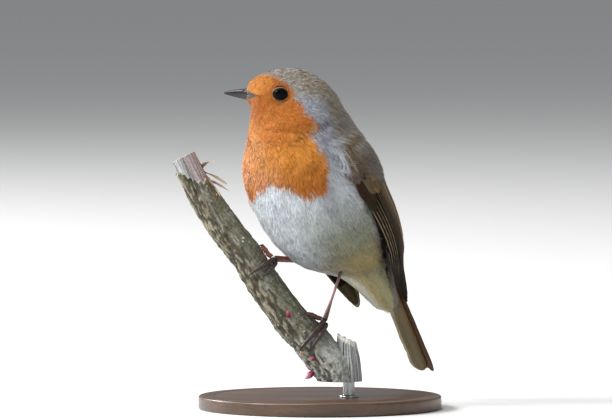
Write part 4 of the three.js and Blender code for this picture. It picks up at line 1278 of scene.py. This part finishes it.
def stem_tube(rows, length_rows, sides, seed, bare_of, ends):
    """A branch: circles square to its axis with the surface's relief, and each end closed
    by a face of rings that shrink to the middle."""
    place = np.linspace(0, len(rows) - 1, length_rows)
    path = through(rows, place)
    gaps = np.linalg.norm(np.diff(path[:, :3], axis=0), axis=1)
    run = np.concatenate([[0], np.cumsum(gaps)])[:, None]
    angle = circle(sides)[None]
    ahead = unit(np.gradient(path[:, :3], axis=0))
    one = unit(np.cross(ahead, np.broadcast_to([0.0, -1.0, 0.0], ahead.shape)))
    two = np.cross(one, ahead)
    spoke = np.cos(angle)[..., None] * one[:, None] + np.sin(angle)[..., None] * two[:, None]
    flat = path[:, None, :3] + path[:, 3, None, None] * spoke
    left = -(STEM_RIGHT[0] * spoke[..., 0] + STEM_RIGHT[1] * spoke[..., 2])
    low = step(flat[..., 2], LICHEN_BELOW, -LICHEN_FADES)
    knot = sum(bell((flat[..., 0], x, wide), (flat[..., 2], z, high)) for x, z, wide, high in KNOTS)
    knot = knot * (spoke[..., 1] < 0)
    relief, values = stem_surface(angle, run, bare_of(flat), left, low, knot, seed)
    rings = flat + relief[..., None] * spoke
    shrink = np.linspace(0.94, 0.06, CAP_ROWS)
    draw = np.random.default_rng(seed + 9)
    caps = []
    for end, way, jagged in ((0, -1, ends[0]), (-1, 1, ends[1])):
        jag = draw.normal(0, 1, (len(shrink), sides))
        jag = sum(np.roll(jag, k, 1) for k in range(-2, 3)) / 5 * jagged
        face = path[end, :3] + (rings[end] - path[end, :3])[None] * shrink[:, None, None]
        caps.append(face + (way * jag)[..., None] * ahead[end])
    rings = np.concatenate([caps[0][::-1], rings, caps[1]])
    capped = lambda x, value: np.pad(x, ((CAP_ROWS, CAP_ROWS), (0, 0)), constant_values=value)
    values = {k: capped(np.broadcast_to(v, relief.shape), 0.0) for k, v in values.items()}
    values["cut"] = capped(np.zeros_like(relief), 1.0)
    return rings, values


def perch(paint):
    """Main stem and upright, cut flat at the foot; the upright is broken off in splinters
    along a slant, pale where it broke."""
    def torn(p):
        edge = BARE_ABOVE + 0.6 * np.sin(1.7 * p[..., 1]) + 0.5 * np.sin(3.1 * p[..., 0])
        return soft((p[..., 2] - edge + 0.25 * (p[..., 0] + 46)) / 0.8)

    weathered = lambda p: soft((p[..., 0] - 4.5 + 0.12 * (p[..., 2] - 18)) / 3.0)
    stem, values = stem_tube(STEM, 470, 150, 71, torn, (0.3, 0.0))
    short, more = stem_tube(UPRIGHT, 120, 120, 81, weathered, (0.0, 0.4))
    more["side"] = np.maximum(more["side"], more["bare"])
    draw = np.random.default_rng(88)
    splinter = draw.uniform(0, 1, short.shape[1])
    splinter = (splinter + np.roll(splinter, 1) + np.roll(splinter, 2)) / 3
    right = step(short[..., 0], 7.0, 1.5)
    core = np.hypot(short[..., 0] - UPRIGHT[-1][0], short[..., 1] - UPRIGHT[-1][1]) < BROKEN_CORE
    limit = BROKEN_TOP[1] - BROKEN_TOP[0] * short[..., 0] - np.where(core, 0.9, 1.3 * splinter * right)
    more["cut"] = np.where(short[..., 2] > limit - 0.5 - 2.2 * splinter, 2.0, more["cut"])
    short[..., 2] = np.minimum(short[..., 2], limit)
    parts = []
    for rings, each in ((stem, values), (short, more)):
        foot_cut = rings[..., 2] < PERCH_FOOT
        rings[..., 2] = np.where(foot_cut, PERCH_FOOT, rings[..., 2])
        each["cut"] = np.where(foot_cut, 1.0, each["cut"])
        parts.append(closed_loft(rings))
    points, faces = joined(parts)
    values = {k: np.concatenate([loft_values(v, stem[None]), loft_values(more[k], short[None])])
              for k, v in values.items()}
    piece("perch", points, faces, paint, ("perch_branch",), values)


BARK, PALE_BARK, GREEN_BARK = srgb(100, 97, 83), srgb(120, 117, 103), srgb(90, 90, 70)
LICHEN, LOW_LICHEN_AND_LIGHT, OCHRE, ORANGE_FLECK = (
    srgb(140, 146, 142), srgb(178, 181, 175), srgb(166, 154, 104), srgb(196, 112, 46))
CRUST, VEIN, PIT, DOT = srgb(144, 135, 107), srgb(168, 165, 150), srgb(56, 50, 40), srgb(204, 202, 192)
GREY_WOOD, PINK_WOOD = (srgb(96, 96, 96), srgb(188, 190, 190)), (srgb(134, 124, 124), srgb(168, 160, 160))
CUT_WOOD, BROKEN_WOOD = (srgb(176, 156, 124), srgb(204, 188, 158)), srgb(214, 212, 207)


def bark_material():
    """Grey-green bark, greener on its smooth right: pale veins, dark pits and gaps, pale
    dots, ochre crusts with orange flecks on its left and pale lichen low down, also painted light
    that lifts the lower stem's shade; bare wood grey, streaked on its left and pinkish on its right;
    pale where it is cut or broken."""
    made, tree, bsdf = material("bark", Roughness=0.88, Specular_IOR_Level=0.2)
    of = lambda name, amount=1.0: maths(tree, "MULTIPLY", value_of(tree, name), amount)
    broad, fine = speckle(tree, 150.0, 4.0), speckle(tree, 1300.0, 4.0)
    patch, fleck = speckle(tree, 260.0, 5.0, roughness=0.65), speckle(tree, 620.0)
    # pale lichen low down, also painted light lifting the lower stem's shade
    low = maths(tree, "MULTIPLY", of("low"), graded(tree, patch, 0.36, 0.5, 0.35, 0.95))
    ochre = maths(tree, "MULTIPLY", of("low"), graded(tree, patch, 0.40, 0.34, 0.0, 0.7))
    orange = maths(tree, "MULTIPLY", of("side"), graded(tree, fleck, 0.29, 0.26, 0.0, 0.9))
    grain = graded(tree, value_of(tree, "grain"), -1.6, 1.0)
    wood = mix(tree, value_of(tree, "side"), mix(tree, grain, *PINK_WOOD), mix(tree, grain, *GREY_WOOD))
    colour = laid(
        tree, mix(tree, graded(tree, broad, *NOISE_CORE), BARK, PALE_BARK),
        (of("smooth", 0.7), GREEN_BARK), (graded(tree, patch, 0.55, 0.62, 0.0, 0.5), LICHEN),
        (of("crust", 0.7), CRUST), (low, LOW_LICHEN_AND_LIGHT), (ochre, OCHRE), (of("vein", 0.55), VEIN),
        (of("hollow", 0.8), PIT), (of("dots", 0.9), DOT), (orange, ORANGE_FLECK),
        (value_of(tree, "bare"), wood))
    colour = shaded(tree, colour, graded(tree, fine, *NOISE, 0.74, 1.1))
    cut = value_of(tree, "cut")
    fresh = mix(tree, graded(tree, speckle(tree, 420.0, 3.0), *NOISE_CORE), *CUT_WOOD)
    colour = laid(tree, colour, (cut, fresh), (graded(tree, cut, 1.0, 2.0), BROKEN_WOOD))
    painted(tree, bsdf, colour, fine, 0.6, 0.0003)
    return made


PEELINGS = (  # start x and z, end x and z, sag, half width, out to the front
    (-44.2, 89.4, -38.8, 91.6, 0.8, 0.75, 1.0), (-43.2, 87.8, -34.4, 83.2, 0.5, 0.8, 0.4),
    (-41.0, 84.8, -33.4, 80.6, 0.3, 0.5, 1.4), (-42.4, 86.2, -36.9, 79.2, 0.5, 0.7, 2.6))


def peelings(paint):
    """Thin strips of bark torn loose at the top's right, each a curved ribbon from the
    stem's side out to a free end, narrowing and curling as it goes."""
    parts, values = [], []
    f = np.linspace(0, 1, 40)
    for number, (x0, z0, x1, z1, sag, wide, out) in enumerate(PEELINGS):
        path = np.stack([x0 + (x1 - x0) * f, 0.3 - out * (1 + 0.6 * f), z0 + (z1 - z0) * f], 1)
        path[:, 2] += sag * np.sin(np.pi * f)
        size = wide * (1 - 0.7 * f ** 2) * (1 + 0.12 * np.sin(23 * f + number))
        across = unit(np.stack([0.2 + 0 * f, np.cos(2.5 * f + number), np.sin(2.5 * f + number)], 1))
        rings = tube(path, size, 12, across, 0.22)
        parts.append(closed_loft(rings))
        values.append(loft_values(f, rings[None]))
    points, faces = joined(parts)
    piece("bark_peelings", points, faces, paint, (), {"tip": np.concatenate(values)})


perch(bark_material())
PEELING = horn_material("peeling bark", srgb(112, 74, 62), srgb(206, 190, 170), "tip", (0.1, 1.0), 0.7)
peelings(PEELING)

# ---------------------------------------------------------------- legs and feet
HEELS = {"left": (-27.7, -4.1, 6.0), "right": (-27.7, -4.1, -8.0)}
FOOT_HEIGHT = {"left": 27.4, "right": 51.5}
TOE_RADIUS, CLAW_RADIUS = 0.85, 0.5
TOES = {  # start and end along the stem, wrap in degrees, claw
    "left": {"middle": (0.0, 2.2, 116, 4.0), "outer": (1.6, 4.6, 90, 3.8),
             "inner": (-1.0, -6.2, 46, 3.8), "back": (0.2, -1.0, -96, 4.6)},
    "right": {"middle": (0.0, 0.6, 96, 4.0), "outer": (1.6, 3.6, 62, 3.8),
              "inner": (-1.0, -6.4, 22, 3.8), "back": (0.2, -1.0, -96, 4.6)}}
TOE_SIZES = np.array([[0, 0.95], [0.12, 1.12], [0.32, 0.95], [0.55, 1.08], [0.78, 0.92], [1, 0.72]])
SHANK_PLACES = (-0.15, 0, 0.12, 0.3, 0.65, 0.9, 1)  # from over the heel to the toes
SHANK_SIZES = {"left": [1.1, 1.1, 0.75, 0.55, 0.55, 0.95, 1.05],
               "right": [0.7, 0.7, 0.8, 0.95, 1.1, 1.2, 1.2]}


def stem_spot(height):
    """Where the stem's axis has a height: its point, radius, and the ways down along it,
    out to the front and up across it."""
    place = np.linspace(0, len(STEM) - 1, 4001)
    at = np.interp(-height, -through(STEM, place)[:, 2], place)
    down = unit(through(STEM, at + 0.05)[:3] - through(STEM, at - 0.05)[:3])
    front = np.array([0.0, -1.0, 0.0])
    front = unit(front - (front @ down) * down)
    row = through(STEM, at)
    return row[:3], row[3], down, front, np.cross(front, down)


def round_stem(spot, along, degrees, height):
    """A point at a height over the bark, degrees round from the top towards the front."""
    centre, radius, down, front, top = spot
    a = np.radians(np.asarray(degrees, float))[..., None]
    reach = np.asarray(radius * 1.05 + height)[..., None]
    return (centre + np.asarray(along, float)[..., None] * down
            + reach * (np.cos(a) * top + np.sin(a) * front))


def toe(spot, start, end, wrap):
    """The toe's path round the stem, arched between its joints, thick at the joints and
    ringed with scutes."""
    f = np.linspace(0, 1, 56)
    way = np.sign(wrap)
    arch = 0.65 * bell((f, 0, 0.07)) + 0.22 * np.sin(np.pi * f * 4.5) ** 2
    along = start + (end - start) * f ** 0.8
    height = TOE_RADIUS + 0.02 + arch
    path = round_stem(spot, along, 10 * way + (wrap - 10 * way) * f, height)
    size = read_off(TOE_SIZES, f) * TOE_RADIUS
    scute = 1 - 0.09 * (1 - np.abs(np.sin(np.pi * f * 17))) ** 2
    out = unit(path - spot[0])
    return tube(path, size * scute, 16, out)


def claw(spot, end, wrap, length):
    """A curved claw: rises from the toe's end and comes down to a point on the bark."""
    f = np.linspace(0, 1, 22)
    way = np.sign(wrap)
    degrees = wrap + way * (length * f - CLAW_RADIUS) * (180 / np.pi / (spot[1] + 1))
    height = 0.1 + CLAW_RADIUS + 0.85 * np.sin(np.pi * (0.25 + 0.75 * f)) - 0.35 * f
    path = round_stem(spot, end + np.sign(end) * 0.5 * f, degrees, height)
    radius = CLAW_RADIUS * (0.92 - 0.82 * f ** 0.9)
    return tube(path, radius, 12, unit(path - spot[0]), 0.8), f


def foot(side, skin_paint, claw_paint):
    spot = stem_spot(FOOT_HEIGHT[side])
    heel = in_trunk(*HEELS[side])
    joint = round_stem(spot, 0.0, 0.0, TOE_RADIUS + 1.1)
    f = np.linspace(SHANK_PLACES[0], 1, 70)
    path = heel + (joint - heel) * f[:, None]
    size = np.interp(f, SHANK_PLACES, SHANK_SIZES[side])
    scute = 1 - 0.06 * (1 - np.abs(np.sin(np.pi * f * 9))) ** 3
    shank = tube(path, size * scute, 18, (0.0, 1.0, 0.0))
    # a painted highlight down the middle of the left shank
    bright = (side == "left") * bell((f, 0.55, 0.28))
    red = (side == "right") * step(f, 0.95, -0.2)
    loft("shank_" + side, shank, skin_paint, "leg_skin", ("tarsus_" + side,), bright=bright, red=red)
    for name, (start, end, wrap, length) in TOES[side].items():
        red = 0.8 * (name == "inner") * (side == "right") + 0.25 * (name == "inner")
        loft(f"foot_{side}_{name}", toe(spot, start, end, wrap), skin_paint, "leg_skin",
             (f"toe_{side}_{name}",), bright=0.0, red=red)
        rings, along = claw(spot, end, wrap, length)
        loft(f"nail_{side}_{name}", rings, claw_paint, "horn", (f"claw_{side}_{name}",), tip=along)


# Leg skin: dark, pale along the painted highlight, and red where named.
LEG_PAINT = horn_material("leg skin", srgb(68, 50, 46), srgb(172, 136, 130), "bright", (0.0, 1.0), 0.4,
                          "red")
NAIL_PAINT = horn_material("claw horn", srgb(62, 46, 42), srgb(30, 26, 26), "tip", (0.0, 0.8), 0.35)
for side in HEELS:
    foot(side, LEG_PAINT, NAIL_PAINT)


BUD_SCALES = 3


def bud(number, height, round_degrees, length, rise, wide, paint):
    """A pointed bud standing out of the bark, its overlapping scales as steps round it."""
    spot = stem_spot(height)
    root = round_stem(spot, 0.0, round_degrees, -0.4)
    out = unit(root - spot[0])
    f = np.linspace(0, 1, 40)
    path = root + out * (f * (length + 0.4))[:, None]
    path[:, 2] += rise * f ** 1.5
    radius = wide * np.sin(np.pi * np.clip(0.14 + 0.84 * f, 0, 1)) ** 0.8 * (1 - 0.25 * f)
    rings = tube(path, radius, 20, unit(np.cross(out, [0.3, 0.9, 0.1])))
    angle = circle(20)[None]
    scale = (f[:, None] * BUD_SCALES + 0.5 * np.cos(2 * angle + np.floor(f[:, None] * BUD_SCALES))) % 1
    middle = path[:, None]
    rings = middle + (rings - middle) * (1 - 0.12 * scale)[..., None]
    loft(f"bud_{number}", rings, paint, "bud", (f"perch_bud_{number}",), tip=f)


BUD_PAINT = horn_material(
    "bud scales", srgb(140, 24, 56), srgb(206, 112, 142), "tip", (0.45, 1.2), 0.28)
# The third bud is paler towards its tip as a painted highlight.
BUD_HIGHLIGHT_PAINT = horn_material(
    "bud scales with painted highlight", srgb(176, 62, 104), srgb(240, 206, 218), "tip", (0.35, 0.85), 0.28)
for number, row in enumerate(BUDS, 1):
    bud(number, *row, BUD_HIGHLIGHT_PAINT if number == 3 else BUD_PAINT)

# ---------------------------------------------------------------- stand
WALNUT, PALE_WALNUT, WALNUT_PORES = srgb(58, 40, 30), srgb(98, 70, 50), srgb(120, 110, 100)
STEEL, BRIGHT_STEEL = srgb(150, 152, 154), srgb(186, 188, 190)


def turned(profile, sides):
    """A profile of (radius, height) pairs turned about the upright axis."""
    profile = np.asarray(profile, float)
    angle = circle(sides)
    ring = np.stack([np.cos(angle), np.sin(angle), 0 * angle], -1)
    rings = profile[:, :1, None] * ring[None]
    rings[..., 2] = profile[:, 1:]
    return rings


def turned_base():
    """The turned base: a flat disc with a rounded upper edge and a scored ring."""
    quarter = np.linspace(0, np.pi / 2, 9)[1:]
    edge = [(44.2 + 0.8 * np.sin(a), 4.2 + 0.8 * np.cos(a)) for a in quarter]
    profile = [(0.5, 5), (20, 5), (38.6, 5), (39.0, 4.75), (39.4, 5), (44.2, 5), *edge,
               (45, 0.6), (44.4, 0.0), (20, 0), (0.5, 0)]
    made, tree, bsdf = material("turned walnut", Roughness=0.38, Coat_Weight=0.25, Coat_Roughness=0.25)
    grain = speckle(tree, 160.0, 5.0, (0.12, 1.0, 1.0), 0.6)
    pores = speckle(tree, 1600.0, 3.0, (0.1, 1.0, 1.0), 0.6)
    colour = mix(tree, graded(tree, grain, *NOISE), WALNUT, PALE_WALNUT)
    colour = mix(tree, graded(tree, pores, 0.55, 0.7, 0.0, 0.5), colour, WALNUT_PORES, "MULTIPLY")
    painted(tree, bsdf, colour, pores, 0.15, 0.0002)
    loft("base_disc", turned(profile, 160), made, "base_wood", ("stand_base",))


ROD_PROFILE = [(0.1, 17), (1.9, 17), (2.2, 16.7), (2.2, 10), (2.2, 5.8), (2.2, 2.2), (2.0, 2.0), (0.1, 2.0)]
COLLAR_PROFILE = [(2.25, 5.0), (3.4, 5.0), (3.5, 5.2), (3.4, 5.7), (2.9, 6.0), (2.25, 6.05)]


def rod():
    """A drawn steel rod from the base into the perch, and a collar round its foot."""
    place = np.array([*UPRIGHT[0][:2], 0.0])
    points, faces = joined([closed_loft(turned(profile, 48) + place)
                            for profile in (ROD_PROFILE, COLLAR_PROFILE)])
    made, tree, bsdf = material("brushed steel", Roughness=0.3, Metallic=1.0)
    brush = speckle(tree, 900.0, 2.0, (1.0, 1.0, 0.05))
    painted(tree, bsdf, mix(tree, graded(tree, brush, *NOISE), STEEL, BRIGHT_STEEL))
    tree.links.new(graded(tree, brush, *NOISE, 0.24, 0.36), bsdf.inputs["Roughness"])
    piece("steel_rod", points, faces, made, ("stand_rod",))


turned_base()
rod()


# ---------------------------------------------------------------- studio, in metres
def plain_floor():
    """A flat disc far wider than the view."""
    angle = circle(64)
    ring = np.stack([np.cos(angle), np.sin(angle), 0 * angle], -1)
    points = np.concatenate([[[0, 0, 0]], ring * 2.0, ring * 60.0])
    k = np.arange(64)
    n = (k + 1) % 64
    mesh = bpy.data.meshes.new("floor")
    faces = [(0, 1 + a, 1 + b) for a, b in zip(k, n)]
    faces += [(1 + a, 65 + a, 65 + b, 1 + b) for a, b in zip(k, n)]
    mesh.from_pydata(points.tolist(), [], faces)
    made = placed("floor", mesh)
    paint, _, bsdf = material("pale floor", Roughness=0.9)
    bsdf.inputs["Base Color"].default_value = srgb(222, 222, 220)
    mesh.materials.append(paint)


def aimed(name, data, place, aim):
    """A lamp or camera at a place, turned to look at another."""
    made = placed(name, data)
    made.location = place
    made.rotation_euler = (Vector(aim) - made.location).to_track_quat("-Z", "Y").to_euler()
    return made


def lamp(name, place, size, power):
    light = bpy.data.lights.new(name, "AREA")
    light.energy, light.shape, light.size = power, "DISK", size
    aimed(name, light, place, LAMPS_AIM)


LAMPS_AIM = (0.0, 0.0, 0.075)
LAMPS = (  # name, place, size, power
    ("key", (-2.1, -0.8, 1.7), 1.0, 72.0), ("fill", (0.9, -2.1, 0.9), 1.6, 7.0),
    ("top", (-0.6, -0.2, 2.3), 1.1, 32.0), ("rim", (-2.0, 1.3, 1.1), 1.0, 60.0))


def studio():
    plain_floor()
    world = bpy.data.worlds.new("studio")
    world.use_nodes = True
    back = world.node_tree.nodes["Background"]
    back.inputs["Color"].default_value = srgb(235, 238, 242)
    back.inputs["Strength"].default_value = 0.36
    bpy.context.scene.world = world
    for row in LAMPS:
        lamp(*row)


def camera():
    lens = bpy.data.cameras.new("camera")
    lens.sensor_width, lens.lens, lens.clip_end = 36.0, 381.6, 200.0
    distance, rise = 2.4, np.radians(2.5)
    aim = Vector((-0.00518, 0.0, 0.0738))
    place = aim + Vector((0.0, -distance * np.cos(rise), distance * np.sin(rise)))
    bpy.context.scene.camera = aimed("camera", lens, place, aim)


studio()
camera()
bpy.context.scene.view_settings.view_transform = "Standard"
